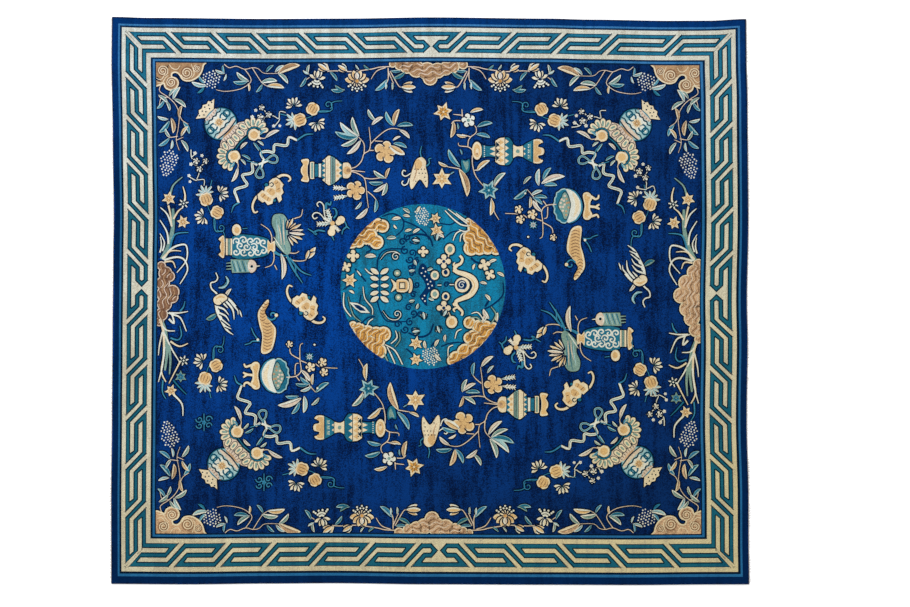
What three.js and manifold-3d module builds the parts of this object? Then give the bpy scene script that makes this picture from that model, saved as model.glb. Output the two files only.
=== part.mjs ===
// A hand-knotted wool pile carpet with a short worn fringe, lying flat on a floor.
// Millimetres, +Z up. The floor is z = 0 and the warps run along X.
import * as THREE from 'three';
import { mergeVertices } from 'three/addons/utils/BufferGeometryUtils.js';
import Module from 'manifold-3d';

// The knotted body, nominally 9 ft along its warps and 8 ft from selvedge to selvedge
const bodyLength = 2740;
const bodyWidth = 2442;
const pileTop = 11;
const cornerRadius = 9;
const cornerSteps = 3;
const stationsLong = 44;
const stationsWide = 40;

// The rim leans in as it rises: the foundation's edge, the side of the pile, its rounded shoulder
const rimSection = [
  { inset: 0, height: 0 },
  { inset: 0, height: 6.5 },
  { inset: 2.5, height: 9.8 },
  { inset: 8, height: pileTop },
];

// How far each edge of the real body stands out from the nominal rectangle.
// "along" is the place on that edge, "out" is outwards, both from the nominal middle.
const leftEdge = [
  { along: -1221, out: 5.6 },
  { along: -860, out: 6.2 },
  { along: -500, out: 2.7 },
  { along: -170, out: 0.2 },
  { along: 180, out: -2.9 },
  { along: 350, out: -5.1 },
  { along: 700, out: -0.9 },
  { along: 1040, out: 4.5 },
  { along: 1221, out: 3.0 },
];
const rightEdge = [
  { along: -1221, out: 7.2 },
  { along: -1030, out: 4.6 },
  { along: -860, out: 4.4 },
  { along: -510, out: -3.7 },
  { along: -170, out: 0.5 },
  { along: 0, out: -2.7 },
  { along: 350, out: 3.6 },
  { along: 870, out: -0.3 },
  { along: 1040, out: -4.7 },
  { along: 1221, out: -6.0 },
];
const topEdge = [
  { along: -1370, out: 7.8 },
  { along: -1210, out: 3.5 },
  { along: -690, out: -1.1 },
  { along: -350, out: 0.3 },
  { along: 0, out: 5.4 },
  { along: 520, out: 0 },
  { along: 690, out: -4.4 },
  { along: 1040, out: -9.7 },
  { along: 1210, out: -9.2 },
  { along: 1370, out: -1.6 },
];
const bottomEdge = [
  { along: -1370, out: -1.8 },
  { along: -1040, out: 0.1 },
  { along: -690, out: -3.3 },
  { along: -430, out: -5.1 },
  { along: 0, out: 0.1 },
  { along: 520, out: 1.9 },
  { along: 860, out: 3.1 },
  { along: 1210, out: 0.6 },
  { along: 1370, out: 0.3 },
];

// The fringe: warp ends held by a narrow strip of plain weave at each end of the body
const partingGap = 0.3;
const stripWidth = 2.6;
const stripHeight = 3;
const stripStations = 48;
const stripEndInset = 4;
const locksPerEnd = 140;
const lockRoot = { width: 7, height: 2.6, buried: 1.2 };
const lockTip = { width: 3, height: 1.4 };
const lockReach = { shortest: 3, longest: 10.5 };
const lockLean = 4;
const lockSeed = { left: 11, right: 29 };

// Colours seen in the photo, and the dull surface of wool and cotton
const colours = {
  carpet: 0x0a3468,
  fringe: 0xb9b3a6,
};
const wool = { roughness: 0.95, metalness: 0 };

const halfLength = bodyLength / 2;
const halfWidth = bodyWidth / 2;
const wasm = await Module();
wasm.setup();

// Smooth step between the two rows of an edge table that a place lies between
function edgeOut(table, along) {
  if (along <= table[0].along) return table[0].out;
  for (let i = 1; i < table.length; i += 1) {
    const low = table[i - 1];
    const high = table[i];
    if (along <= high.along) {
      const t = (along - low.along) / (high.along - low.along);
      return low.out + (high.out - low.out) * t * t * (3 - 2 * t);
    }
  }
  return table[table.length - 1].out;
}

// Where a place on the nominal rectangle lies on the real, uneven body
function onBody(x, y) {
  const west = -halfLength - edgeOut(leftEdge, y);
  const east = halfLength + edgeOut(rightEdge, y);
  const south = -halfWidth - edgeOut(bottomEdge, x);
  const north = halfWidth + edgeOut(topEdge, x);
  return new THREE.Vector2(
    THREE.MathUtils.lerp(west, east, (x + halfLength) / bodyLength),
    THREE.MathUtils.lerp(south, north, (y + halfWidth) / bodyWidth),
  );
}

// The nominal outline, counter-clockwise: four straight edges with small round corners
function nominalOutline() {
  const sides = [
    { corner: [-1, -1], run: [1, 0], length: bodyLength, steps: stationsLong, turn: Math.PI },
    { corner: [1, -1], run: [0, 1], length: bodyWidth, steps: stationsWide, turn: Math.PI * 1.5 },
    { corner: [1, 1], run: [-1, 0], length: bodyLength, steps: stationsLong, turn: 0 },
    { corner: [-1, 1], run: [0, -1], length: bodyWidth, steps: stationsWide, turn: Math.PI / 2 },
  ];
  const outline = [];
  for (const { corner, run, length, steps, turn } of sides) {
    const centreX = corner[0] * (halfLength - cornerRadius);
    const centreY = corner[1] * (halfWidth - cornerRadius);
    for (let i = 0; i <= cornerSteps; i += 1) {
      const angle = turn + (i / cornerSteps) * (Math.PI / 2);
      outline.push(new THREE.Vector2(
        centreX + cornerRadius * Math.cos(angle),
        centreY + cornerRadius * Math.sin(angle),
      ));
    }
    const straight = length - 2 * cornerRadius;
    const last = outline[outline.length - 1].clone();
    for (let i = 1; i < steps; i += 1) {
      const gone = (i / steps) * straight;
      outline.push(new THREE.Vector2(last.x + run[0] * gone, last.y + run[1] * gone));
    }
  }
  return outline;
}

// A geometry from corner points and triangles, as one closed indexed body
function closedGeometry(points, triangles) {
  const geometry = new THREE.BufferGeometry();
  geometry.setAttribute('position', new THREE.Float32BufferAttribute(points.flat(), 3));
  geometry.setIndex(triangles.flat());
  return geometry;
}

// Skin between rings of equal count, capped at both ends; rings run counter-clockwise, upwards
function ringBody(rings) {
  const count = rings[0].length;
  const points = rings.flat();
  const triangles = [];
  for (let r = 0; r + 1 < rings.length; r += 1) {
    for (let i = 0; i < count; i += 1) {
      const a = r * count + i;
      const b = r * count + ((i + 1) % count);
      triangles.push([a, b, b + count], [a, b + count, a + count]);
    }
  }
  const capOf = (ring) => THREE.ShapeUtils.triangulateShape(
    ring.map(([x, y]) => new THREE.Vector2(x, y)),
    [],
  );
  const top = (rings.length - 1) * count;
  for (const [a, b, c] of capOf(rings[0])) triangles.push([a, c, b]);
  for (const [a, b, c] of capOf(rings[rings.length - 1])) triangles.push([top + a, top + b, top + c]);
  return closedGeometry(points, triangles);
}

function carpetBody() {
  const outline = nominalOutline();
  const rings = rimSection.map(({ inset, height }) => {
    const scaleX = (halfLength - inset) / halfLength;
    const scaleY = (halfWidth - inset) / halfWidth;
    return outline.map((place) => {
      const spot = onBody(place.x * scaleX, place.y * scaleY);
      return [spot.x, spot.y, height];
    });
  });
  return ringBody(rings);
}

// A closed body of four-sided sections, each a list of corners; the sections face along their run
function sectionBody(sections) {
  const points = sections.flat();
  const triangles = [];
  for (let s = 0; s + 1 < sections.length; s += 1) {
    for (let i = 0; i < 4; i += 1) {
      const a = s * 4 + i;
      const b = s * 4 + ((i + 1) % 4);
      triangles.push([a, b, b + 4], [a, b + 4, a + 4]);
    }
  }
  const end = (sections.length - 1) * 4;
  triangles.push([0, 2, 1], [0, 3, 2]);
  triangles.push([end, end + 1, end + 2], [end, end + 2, end + 3]);
  return closedGeometry(points, triangles);
}

// The body's edge at one end; side is -1 on the left and 1 on the right
function endEdge(side, y) {
  return onBody(side * halfLength, y);
}

function fringeStrip(side) {
  const sections = [];
  const reach = halfWidth - stripEndInset;
  for (let i = 0; i <= stripStations; i += 1) {
    const edge = endEdge(side, side * reach * (1 - (2 * i) / stripStations));
    const inner = edge.x + side * partingGap;
    const outer = inner + side * stripWidth;
    sections.push([
      [inner, edge.y, 0],
      [outer, edge.y, 0],
      [outer, edge.y, stripHeight],
      [inner, edge.y, stripHeight],
    ]);
  }
  return sectionBody(sections);
}

// A small repeatable random source, from 0 to 1
function seededRandom(seed) {
  let state = seed;
  return () => {
    state = (state * 16807) % 2147483647;
    return state / 2147483647;
  };
}

// One flattened lock of warp ends, its underside level on the floor and its tip thinner
function fringeLock(side, y, reach, lean) {
  const edge = endEdge(side, y);
  const wall = edge.x + side * (partingGap + stripWidth);
  const section = (x, middle, { width, height }) => [
    [x, middle + (side * width) / 2, 0],
    [x, middle - (side * width) / 2, 0],
    [x, middle - (side * width) / 2, height],
    [x, middle + (side * width) / 2, height],
  ];
  return sectionBody([
    section(wall - side * lockRoot.buried, edge.y, lockRoot).reverse(),
    section(wall + side * reach, edge.y + lean, lockTip).reverse(),
  ]);
}

function asManifold(geometry) {
  const merged = mergeVertices(geometry);
  const mesh = new wasm.Mesh({
    numProp: 3,
    vertProperties: merged.getAttribute('position').array,
    triVerts: Uint32Array.from(merged.getIndex().array),
  });
  return new wasm.Manifold(mesh);
}

function fromManifold(solid) {
  const { vertProperties, triVerts } = solid.getMesh();
  const geometry = new THREE.BufferGeometry();
  geometry.setAttribute('position', new THREE.Float32BufferAttribute(vertProperties, 3));
  geometry.setIndex(Array.from(triVerts));
  return geometry;
}

function fringeBody(side, seed) {
  const random = seededRandom(seed);
  const pitch = (2 * (halfWidth - stripEndInset - lockRoot.width)) / (locksPerEnd - 1);
  let solid = asManifold(fringeStrip(side));
  for (let i = 0; i < locksPerEnd; i += 1) {
    const y = (i - (locksPerEnd - 1) / 2) * pitch;
    const reach = THREE.MathUtils.lerp(lockReach.shortest, lockReach.longest, random());
    const lean = lockLean * (2 * random() - 1);
    solid = solid.add(asManifold(fringeLock(side, y, reach, lean)));
  }
  return fromManifold(solid);
}

function pieceOf(name, geometry, colour) {
  const material = new THREE.MeshStandardMaterial({ color: colour, ...wool });
  const mesh = new THREE.Mesh(geometry, material);
  mesh.name = name;
  return mesh;
}

const group = new THREE.Group();
group.add(pieceOf('carpet', carpetBody(), colours.carpet));
group.add(pieceOf('fringe_left', fringeBody(-1, lockSeed.left), colours.fringe));
group.add(pieceOf('fringe_right', fringeBody(1, lockSeed.right), colours.fringe));

// The origin is on the floor under the middle of the whole outline
const extent = new THREE.Box3().setFromObject(group);
const middle = extent.getCenter(new THREE.Vector3());
group.position.set(-middle.x, -middle.y, 0);

export default group;
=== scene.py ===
import random
from math import cos, hypot, pi, radians, sin, sqrt

import bmesh
import bpy
from mathutils import Matrix, Vector


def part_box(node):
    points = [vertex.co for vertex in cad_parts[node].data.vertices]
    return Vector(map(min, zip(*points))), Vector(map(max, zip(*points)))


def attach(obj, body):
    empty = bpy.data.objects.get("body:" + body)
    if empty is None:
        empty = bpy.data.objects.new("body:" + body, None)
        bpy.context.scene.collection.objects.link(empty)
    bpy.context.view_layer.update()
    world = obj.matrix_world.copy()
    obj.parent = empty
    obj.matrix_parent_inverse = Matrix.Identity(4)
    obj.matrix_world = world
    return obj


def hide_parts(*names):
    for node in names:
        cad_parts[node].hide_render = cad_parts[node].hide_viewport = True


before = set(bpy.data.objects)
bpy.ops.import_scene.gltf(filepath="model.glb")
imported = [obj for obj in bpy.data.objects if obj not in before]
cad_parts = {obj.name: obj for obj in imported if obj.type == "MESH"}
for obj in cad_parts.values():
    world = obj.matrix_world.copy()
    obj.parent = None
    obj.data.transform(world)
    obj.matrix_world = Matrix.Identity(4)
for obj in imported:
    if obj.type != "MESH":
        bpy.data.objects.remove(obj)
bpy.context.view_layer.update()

# the carpet is charted in knots from its middle, x to the right along the warps, y up
knot = 0.004315          # metres from knot to knot, about 70 to the foot

carpet = {
    "length": 2.740,
    "width": 2.442,
    "top": 0.011,
    "ground": 0.0104,    # the plain pile, a little under the sculpted pattern
    "buried": 0.0090,    # how deep the pattern's tufts are rooted
    "layer": 0.00002,    # each shape of a motif lies this much over the last
    "waveHeight": 0.0004,
    "cell": 0.027,
}
halfLength = carpet["length"] / 2
halfWidth = carpet["width"] / 2

# how far each edge stands out from the nominal rectangle: place along it, outwards, in millimetres
edges = {
    "left": [(-1221, 5.6), (-860, 6.2), (-500, 2.7), (-170, 0.2), (180, -2.9), (350, -5.1),
             (700, -0.9), (1040, 4.5), (1221, 3.0)],
    "right": [(-1221, 7.2), (-1030, 4.6), (-860, 4.4), (-510, -3.7), (-170, 0.5), (0, -2.7),
              (350, 3.6), (870, -0.3), (1040, -4.7), (1221, -6.0)],
    "top": [(-1370, 7.8), (-1210, 3.5), (-690, -1.1), (-350, 0.3), (0, 5.4), (520, 0),
            (690, -4.4), (1040, -9.7), (1210, -9.2), (1370, -1.6)],
    "bottom": [(-1370, -1.8), (-1040, 0.1), (-690, -3.3), (-430, -5.1), (0, 0.1), (520, 1.9),
               (860, 3.1), (1210, 0.6), (1370, 0.3)],
}


def edgeOut(side, along):
    rows = edges[side]
    along = min(max(along * 1000, rows[0][0]), rows[-1][0])
    for (low, lowOut), (high, highOut) in zip(rows, rows[1:]):
        if along <= high:
            t = (along - low) / (high - low)
            return (lowOut + (highOut - lowOut) * t * t * (3 - 2 * t)) / 1000
    return rows[-1][1] / 1000


def onBody(x, y):
    # where a place on the nominal rectangle lies on the uneven body
    west = -halfLength - edgeOut("left", y)
    east = halfLength + edgeOut("right", y)
    south = -halfWidth - edgeOut("bottom", x)
    north = halfWidth + edgeOut("top", x)
    u = (x + halfLength) / carpet["length"]
    v = (y + halfWidth) / carpet["width"]
    return west + (east - west) * u, south + (north - south) * v


# the frame's origin is under the middle of the whole outline, a few millimetres off the chart's
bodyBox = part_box("carpet")
chartShift = (
    bodyBox[0][0] - min(onBody(-halfLength, i * 0.01)[0] for i in range(-122, 123)),
    bodyBox[1][1] - max(onBody(i * 0.01, halfWidth)[1] for i in range(-137, 138))
)
print("carpet chart shifted by", chartShift)


def groundHeight(x, y):
    # the faint lie of an old carpet on its floor
    wave = sin(2.9 * x + 1.3) * sin(3.7 * y + 0.4) + 0.6 * sin(7.1 * x - 2.2 * y)
    return carpet["ground"] + carpet["waveHeight"] * wave


class Term:
    # one socket of a shader, so that sums and products on it add the Math nodes
    def __init__(self, graph, socket):
        self.graph = graph
        self.socket = socket

    def maths(self, operation, first, second):
        return self.graph.node("ShaderNodeMath", {"operation": operation}, {0: first, 1: second})

    def __add__(self, other):
        return self.maths("ADD", self, other)

    def __sub__(self, other):
        return self.maths("SUBTRACT", self, other)

    def __rsub__(self, other):
        return self.maths("SUBTRACT", other, self)

    def __mul__(self, other):
        return self.maths("MULTIPLY", self, other)

    def clamped(self):
        return self.graph.node("ShaderNodeClamp", {}, {"Value": self})


class Graph:
    # one material and its nodes
    def __init__(self, name):
        self.material = bpy.data.materials.new(name)
        self.material.use_nodes = True
        self.tree = self.material.node_tree
        self.shader = self.tree.nodes["Principled BSDF"]

    def node(self, kind, settings, sockets, output=0):
        made = self.tree.nodes.new(kind)
        for key, value in settings.items():
            setattr(made, key, value)
        for key, value in sockets.items():
            self.feed(made.inputs[key], value)
        return Term(self, made.outputs[output])

    def feed(self, socket, value):
        if isinstance(value, Term):
            self.tree.links.new(value.socket, socket)
        else:
            socket.default_value = value

    def mix(self, factor, first, second):
        made = self.tree.nodes.new("ShaderNodeMix")
        made.data_type = "RGBA"
        for socket, value in zip((made.inputs[0], made.inputs[6], made.inputs[7]), (factor, first, second)):
            self.feed(socket, value)
        return Term(self, made.outputs[2])

    def stretched(self, place, scale):
        settings = {"operation": "MULTIPLY"}
        return self.node("ShaderNodeVectorMath", settings, {0: place, 1: scale})

    def noise(self, place, scale, detail=2.0, roughness=0.5):
        sockets = {"Vector": place, "Scale": scale, "Detail": detail, "Roughness": roughness}
        return self.node("ShaderNodeTexNoise", {"noise_dimensions": "3D"}, sockets)


def linear(red, green, blue):
    # a colour given as it is seen on a screen, 0 to 255
    def channel(c):
        c = c / 255
        return c / 12.92 if c <= 0.04045 else ((c + 0.055) / 1.055) ** 2.4
    return (channel(red), channel(green), channel(blue), 1)


# dyed wools: as they look where they are cool, where they are warm and where they are worn dark, how
# much of the dark shows, and whether cool turns to warm down the border, across the motifs or over the field
# the turn from cool to warm is partly painted light: paler at the top, and over the field a painted pool of
# light left of the middle that is shaded towards the corners
wools = {
    "field": ((4, 61, 140), (8, 41, 88), (3, 16, 46), 0.95, "field"),
    "guard": ((3, 48, 106), (2, 34, 74), (1, 22, 50), 0.5, "border"),
    "dark": ((4, 36, 70), (4, 24, 42), (3, 16, 32), 0.5, "border"),
    "borderSky": ((56, 114, 166), (36, 98, 140), (22, 74, 116), 0.6, "border"),
    "borderTeal": ((34, 110, 140), (25, 90, 106), (14, 68, 90), 0.7, "border"),
    "borderIvory": ((200, 206, 202), (198, 184, 139), (148, 138, 118), 0.6, "litAndFaded"),
    "navy": ((4, 44, 88), (6, 38, 72), (3, 24, 52), 0.5, "motif"),
    "edge": ((3, 20, 52), (3, 16, 36), (2, 10, 26), 0.4, "motif"),
    "sky": ((60, 132, 158), (52, 120, 142), (28, 88, 124), 0.7, "motif"),
    "mist": ((150, 182, 186), (146, 176, 168), (104, 142, 152), 0.7, "motif"),
    "teal": ((38, 108, 132), (32, 102, 122), (16, 72, 92), 0.7, "motif"),
    "shade": ((6, 38, 60), (10, 38, 48), (6, 30, 40), 0.5, "motif"),
    "bright": ((16, 122, 162), (20, 114, 148), (22, 78, 100), 0.95, "motif"),
    "ivory": ((206, 212, 208), (206, 204, 182), (170, 164, 144), 0.45, "motif"),
    "cream": ((212, 200, 176), (210, 194, 154), (180, 160, 128), 0.5, "motif"),
    "ochre": ((200, 168, 122), (202, 166, 108), (166, 130, 86), 0.6, "motif"),
    "gold": ((198, 148, 76), (196, 146, 72), (144, 98, 44), 0.8, "motif"),
    "tan": ((160, 128, 96), (200, 164, 124), (124, 96, 70), 0.8, "motif"),
    "brown": ((124, 92, 72), (128, 92, 64), (88, 60, 46), 0.7, "motif"),
    "sage": ((120, 152, 148), (126, 148, 126), (84, 116, 110), 0.8, "motif"),
    "stem": ((204, 188, 176), (200, 180, 150), (160, 142, 128), 0.5, "motif"),
}


def woolMaterial(name, cool, warm, dark, mottle, lie):
    g = Graph(name + "_wool")
    place = g.node("ShaderNodeTexCoord", {}, {}, "Object")
    across = g.node("ShaderNodeSeparateXYZ", {}, {0: place})
    upward = Term(g, across.socket.node.outputs[1])
    cloud = g.noise(place, 2.6, 3.0)
    drift = (cloud - 0.5) * 0.9
    if lie == "border":                   # partly painted light: the top border is pale and cool, as if lit more, the others warmer
        paintedLightAndAge = 1.55 - upward * 1.35 + drift
    elif lie == "litAndFaded":                  # its ivory yellows from the top left to the bottom right, and is paler at the top with painted light
        paintedLightAndAge = across * 0.12 - upward * 0.35 + 0.54 + drift * 0.5
    elif lie == "motif":                  # cool and paler at the top left with painted light, warm at the bottom right
        paintedLightAndAge = across * 0.22 - upward * 0.40 + 0.5 + drift
    else:                                 # painted light: the field is brightest left of the middle, in painted shade towards its corners
        heart = {0: g.stretched(place, (0.6, 1.0, 1.0)), 1: (-0.26, 0.08, 0.0)}
        paintedLightAndAge = g.node("ShaderNodeVectorMath", {"operation": "DISTANCE"}, heart,
            "Value") * 0.85 - 0.05 + drift * 0.6
    # painted light and the ageing of the dyes, mixed into one tone
    tone = g.mix(paintedLightAndAge.clamped(), linear(*cool), linear(*warm))
    # abrash: each batch of dye runs along the wefts, so it shows as faint upright bands
    abrash = g.noise(g.stretched(place, (1.0, 0.11, 1.0)), 38.0, 4.0, 0.62)
    patch = g.noise(place, 9.0, 2.0)
    blotch = g.noise(place, 34.0, 4.0, 0.65)
    knots = g.node("ShaderNodeTexVoronoi", {"feature": "F1"}, {"Vector": place, "Scale": 1 / knot,
        "Randomness": 0.55})
    middle = Term(g, knots.socket.node.outputs["Position"])
    tuft = g.node("ShaderNodeTexWhiteNoise", {"noise_dimensions": "3D"}, {"Vector": middle})
    worn = (abrash - 0.5) * 2.5 + (patch - 0.5) * 1.4 + (blotch - 0.5) * 0.7 + (tuft - 0.5) * 0.9 + 0.42
    if lie in ("border", "litAndFaded"):        # the left side is the dullest
        worn = worn - across * 0.14
    tone = g.mix(worn.clamped() * mottle, tone, linear(*dark))
    g.feed(g.shader.inputs["Base Color"], tone)
    g.feed(g.shader.inputs["Roughness"], (blotch * 0.2 + 0.78).clamped())
    hairs = g.noise(place, 1400.0, 2.0)
    pile = (1 - knots * (0.9 / knot)) * 0.7 + hairs * 0.3
    bump = g.node("ShaderNodeBump", {}, {"Strength": 0.45, "Distance": 0.0012, "Height": pile})
    g.feed(g.shader.inputs["Normal"], bump)
    g.shader.inputs["Specular IOR Level"].default_value = 0.01
    g.shader.inputs["Sheen Weight"].default_value = 0.01
    g.shader.inputs["Sheen Roughness"].default_value = 0.5
    return g.material


woolMaterials = {name: woolMaterial(name, *dye) for name, dye in wools.items()}
print("wools dyed:", len(woolMaterials))

# the pattern gathers here, one mesh for each wool, drawn flat in knots with its layer as z
charts = {name: bmesh.new() for name in wools if name != "field"}
fresh = {name: bmesh.new() for name in charts}       # the last few shapes: a small mesh is quick to draw on


def chartOf(wool, most=250):
    if len(fresh[wool].verts) > most:
        gathered = bpy.data.meshes.new("gathered")
        fresh[wool].to_mesh(gathered)
        charts[wool].from_mesh(gathered)
        bpy.data.meshes.remove(gathered)
        fresh[wool].clear()
    return fresh[wool]


def smoothed(points, closed=False, steps=5):
    # a Catmull-Rom curve through the points
    count = len(points)
    line = []
    for i in range(count if closed else count - 1):
        near = [i + k for k in (-1, 0, 1, 2)]
        near = [k % count if closed else min(max(k, 0), count - 1) for k in near]
        for s in range(steps):
            t = s / steps
            line.append(tuple(0.5 * (2 * q + (r - p) * t + (2 * p - 5 * q + 4 * r - w) * t * t
                                     + (3 * q - p - 3 * r + w) * t * t * t)
                              for p, q, r, w in zip(*(points[k] for k in near))))
    if not closed:
        line.append(tuple(points[-1]))
    return line


def ribbon(wool, firstSide, secondSide, closed=False):
    # a strip of pile between two rows of spots: the first is laid as edges and pulled out to the second
    chart = chartOf(wool)
    verts = [chart.verts.new(spot) for spot in firstSide]
    pairs = list(zip(verts, verts[1:] + verts[:1])) if closed else list(zip(verts, verts[1:]))
    spine = [chart.edges.new(pair) for pair in pairs]
    places = {vert: spot for vert, spot in zip(verts, secondSide)}
    for item in bmesh.ops.extrude_edge_only(chart, edges=spine)["geom"]:
        if isinstance(item, bmesh.types.BMVert):
            ends = [edge.other_vert(item) for edge in item.link_edges]
            item.co = next(places[vert] for vert in ends if vert in places)


class Pen:
    # draws one motif in knots from its own middle; each new shape lies a hair over the last, and most
    # are outlined with a dark knot or so, which lies under the whole motif
    def __init__(self, x=0, y=0, turn=0, size=1, flip=1, layer=0, step=1, edge="edge", edgeLayer=0.1):
        spin = Matrix.Rotation(radians(turn), 4, "Z")
        self.matrix = Matrix.Translation((x, y, 0)) @ spin @ Matrix.Diagonal((size * flip, size, 1, 1))
        self.size = size
        self.layer = layer
        self.step = step
        self.edge = edge
        self.edgeLayer = edgeLayer
        self.edgeWidth = 1.3
        self.apart = False        # where true, each shape's outline also lies over the shapes before it
        self.ring = None          # where given, x, y and radius of a round that nothing passes

    def kept(self, spot):
        if self.ring:
            x, y, radius = self.ring
            reach = Vector((spot.x - x, spot.y - y))
            if reach.length > radius:
                reach *= radius / reach.length
                spot.x, spot.y = x + reach.x, y + reach.y
        return spot

    def lifted(self):
        # one layer up, or two where an outline goes between; gives the outline's layer
        self.layer += self.step
        under = self.edgeLayer
        if self.apart and self.edge:
            under = self.layer
            self.layer += self.step
        return under

    def spots(self, points):
        raised = Matrix.Translation((0, 0, self.layer)) @ self.matrix
        return [self.kept(raised @ Vector((x, y, 0))) for x, y in points]

    def outlined(self, wool):
        return self.edge and wool not in ("navy", "shade", "edge", "dark")

    def strip(self, wool, path, widths, extra=0.0, closed=False, lift=0.0):
        # a ribbon along spots, whose widths are spread evenly over its length
        left, right = [], []
        last = len(path) - 1
        for i, spot in enumerate(path):
            before = path[i - 1] if i or closed else path[0]
            after = path[(i + 1) % len(path)] if i < last or closed else path[last]
            along = (after - before).normalized()
            place = i / last * (len(widths) - 1)
            low = min(int(place), len(widths) - 2)
            width = widths[low] + (widths[low + 1] - widths[low]) * (place - low)
            half = Vector((-along.y, along.x, 0)) * (max(width, 0.1) * self.size / 2 + extra)
            down = Vector((0, 0, lift))
            left.append(self.kept(spot + half + down))
            right.append(self.kept(spot - half + down))
        ribbon(wool, left, right, closed)

    def area(self, wool, points, smooth=True):
        # a filled outline
        points = smoothed(points, closed=True, steps=4) if smooth else points
        under = self.lifted()
        chart = chartOf(wool)
        spots = self.spots(points)
        chart.faces.new([chart.verts.new(spot) for spot in spots])
        if self.outlined(wool):
            width = 2 * self.edgeWidth / self.size
            rim = spots[::2] if smooth else spots        # the outline may be coarser than the shape
            self.strip(self.edge, rim, (width, width), closed=True, lift=under - self.layer)

    def line(self, wool, points, widths, smooth=True, steps=4):
        # a strand through the points, whose widths are spread along it
        under = self.lifted()
        path = self.spots(smoothed(points, steps=steps) if smooth else points)
        self.strip(wool, path, widths)
        if self.outlined(wool):
            rim = path[::2] if smooth and len(path) % 2 else path
            self.strip(self.edge, rim, widths, self.edgeWidth, lift=under - self.layer)

    def stroke(self, wool, start, end, widths):
        self.line(wool, [start, end], widths, smooth=False)

    def dot(self, wool, x, y, radius, sides=10, tall=1, turn=0):
        # a round of pile, or an oval where tall isn't 1
        under = self.lifted()
        rounds = [(wool, radius, self.layer)]
        if self.outlined(wool) and radius > 1:
            rounds.append((self.edge, radius + self.edgeWidth / self.size, under))
        spin = Matrix.Rotation(radians(turn), 4, "Z")
        for own, reach, layer in rounds:
            raised = Matrix.Translation((0, 0, layer)) @ self.matrix
            shape = raised @ Matrix.Translation((x, y, 0)) @ spin @ Matrix.Diagonal((1, tall, 1, 1))
            made = bmesh.ops.create_circle(chartOf(own), cap_ends=True, segments=sides, radius=reach,
                                           matrix=shape)
            for vert in made["verts"]:
                vert.co = self.kept(vert.co)


def nominal(x, y, layer):
    # a place on the nominal rectangle, in knots, as a spot on the chart
    realX, realY = onBody(x * knot, y * knot)
    return Vector((realX / knot, realY / knot, layer))


def bandLoop(insets, layer, steps=40):
    # a line round the whole border, at its own inset on each side
    left, bottom = insets["left"] - halfLength / knot, insets["bottom"] - halfWidth / knot
    right, top = halfLength / knot - insets["right"], halfWidth / knot - insets["top"]
    corners = [Vector((left, bottom)), Vector((right, bottom)), Vector((right, top)), Vector((left, top))]
    spots = []
    for start, end in zip(corners, corners[1:] + corners[:1]):
        spots += [nominal(*start.lerp(end, i / steps), layer) for i in range(steps)]
    return spots


# the bands of the border, and where each ends on each side, in knots from the edge
bands = [
    "guard", "borderSky", "dark", "borderIvory", "borderTeal", "borderIvory", "dark", "borderSky", "dark"
]
bandEnds = {
    "left": [1.6, 6.5, 8.3, 10.2, 14.1, 34.9, 39.2, 41.3, 43.5, 44.6],
    "right": [1.6, 6.3, 8.3, 10.8, 15.1, 37.2, 41.5, 43.8, 46.2, 47.3],
    "bottom": [1.6, 7.7, 10.4, 12.6, 17.3, 41.0, 45.6, 47.5, 49.6, 50.8],
    "top": [1.6, 6.8, 8.6, 10.3, 14.4, 35.3, 39.7, 41.4, 43.4, 44.8],
}
borderLayer = 36


def insetsAt(place, further=0):
    return {side: ends[place] + further for side, ends in bandEnds.items()}


for place, wool in enumerate(bands):
    outer, inner = bandLoop(insetsAt(place), borderLayer), bandLoop(insetsAt(place + 1), borderLayer)
    ribbon(wool, outer, inner, closed=True)
fretPlace = {"outer": 4, "inner": 5, "rows": 5, "line": 0.7}
for place, width in ((fretPlace["outer"], fretPlace["line"]), (fretPlace["inner"], -fretPlace["line"])):
    rimLines = [bandLoop(insetsAt(place, further), borderLayer + 1) for further in (0, width)]
    ribbon("shade", *rimLines, closed=True)

# the key fret, drawn along each side in strokes: along it towards its middle, and in from its outer line
fret = {"stroke": 4.34, "rim": 1.9, "lip": 0.6, "lap": 0.15}
# where each side's hooks spring, in knots along it, from its two corners to its middle
fretSides = {
    "top": {"low": [-303.7, -263.9, -218.9, -178.4, -130.9, -81.4, -32.4], "middle": 2.3,
            "high": [302.6, 252.9, 188.9, 138.4, 88.4, 37.4]},
    "bottom": {"low": [-303.7, -260.9, -214.4, -168.4, -120.9, -70.9, -24.9], "middle": 9.0,
               "high": [302.6, 248.9, 195.9, 142.9, 91.9, 44.9]},
    "left": {"low": [-265.9, -217, -169, -120.5, -74.5, -24.5], "middle": 12.8,
             "high": [268.8, 228.8, 186.3, 143.3, 97.3, 52.3]},
    "right": {"low": [-265.9, -214, -168, -122, -79, -35], "middle": 9.4,
              "high": [268.8, 224.3, 181.3, 139.8, 96.3, 52.3]},
}


def fretSpot(side, along, deep, layer):
    ends = bandEnds[side]
    start, end = ends[fretPlace["outer"]], ends[fretPlace["inner"]]
    inset = start + deep * (end - start) / fretPlace["rows"]
    x, y = halfLength / knot - inset, halfWidth / knot - inset
    place = {"top": (along, y), "bottom": (along, -y), "left": (-x, along), "right": (x, along)}[side]
    return nominal(*place, layer)


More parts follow.
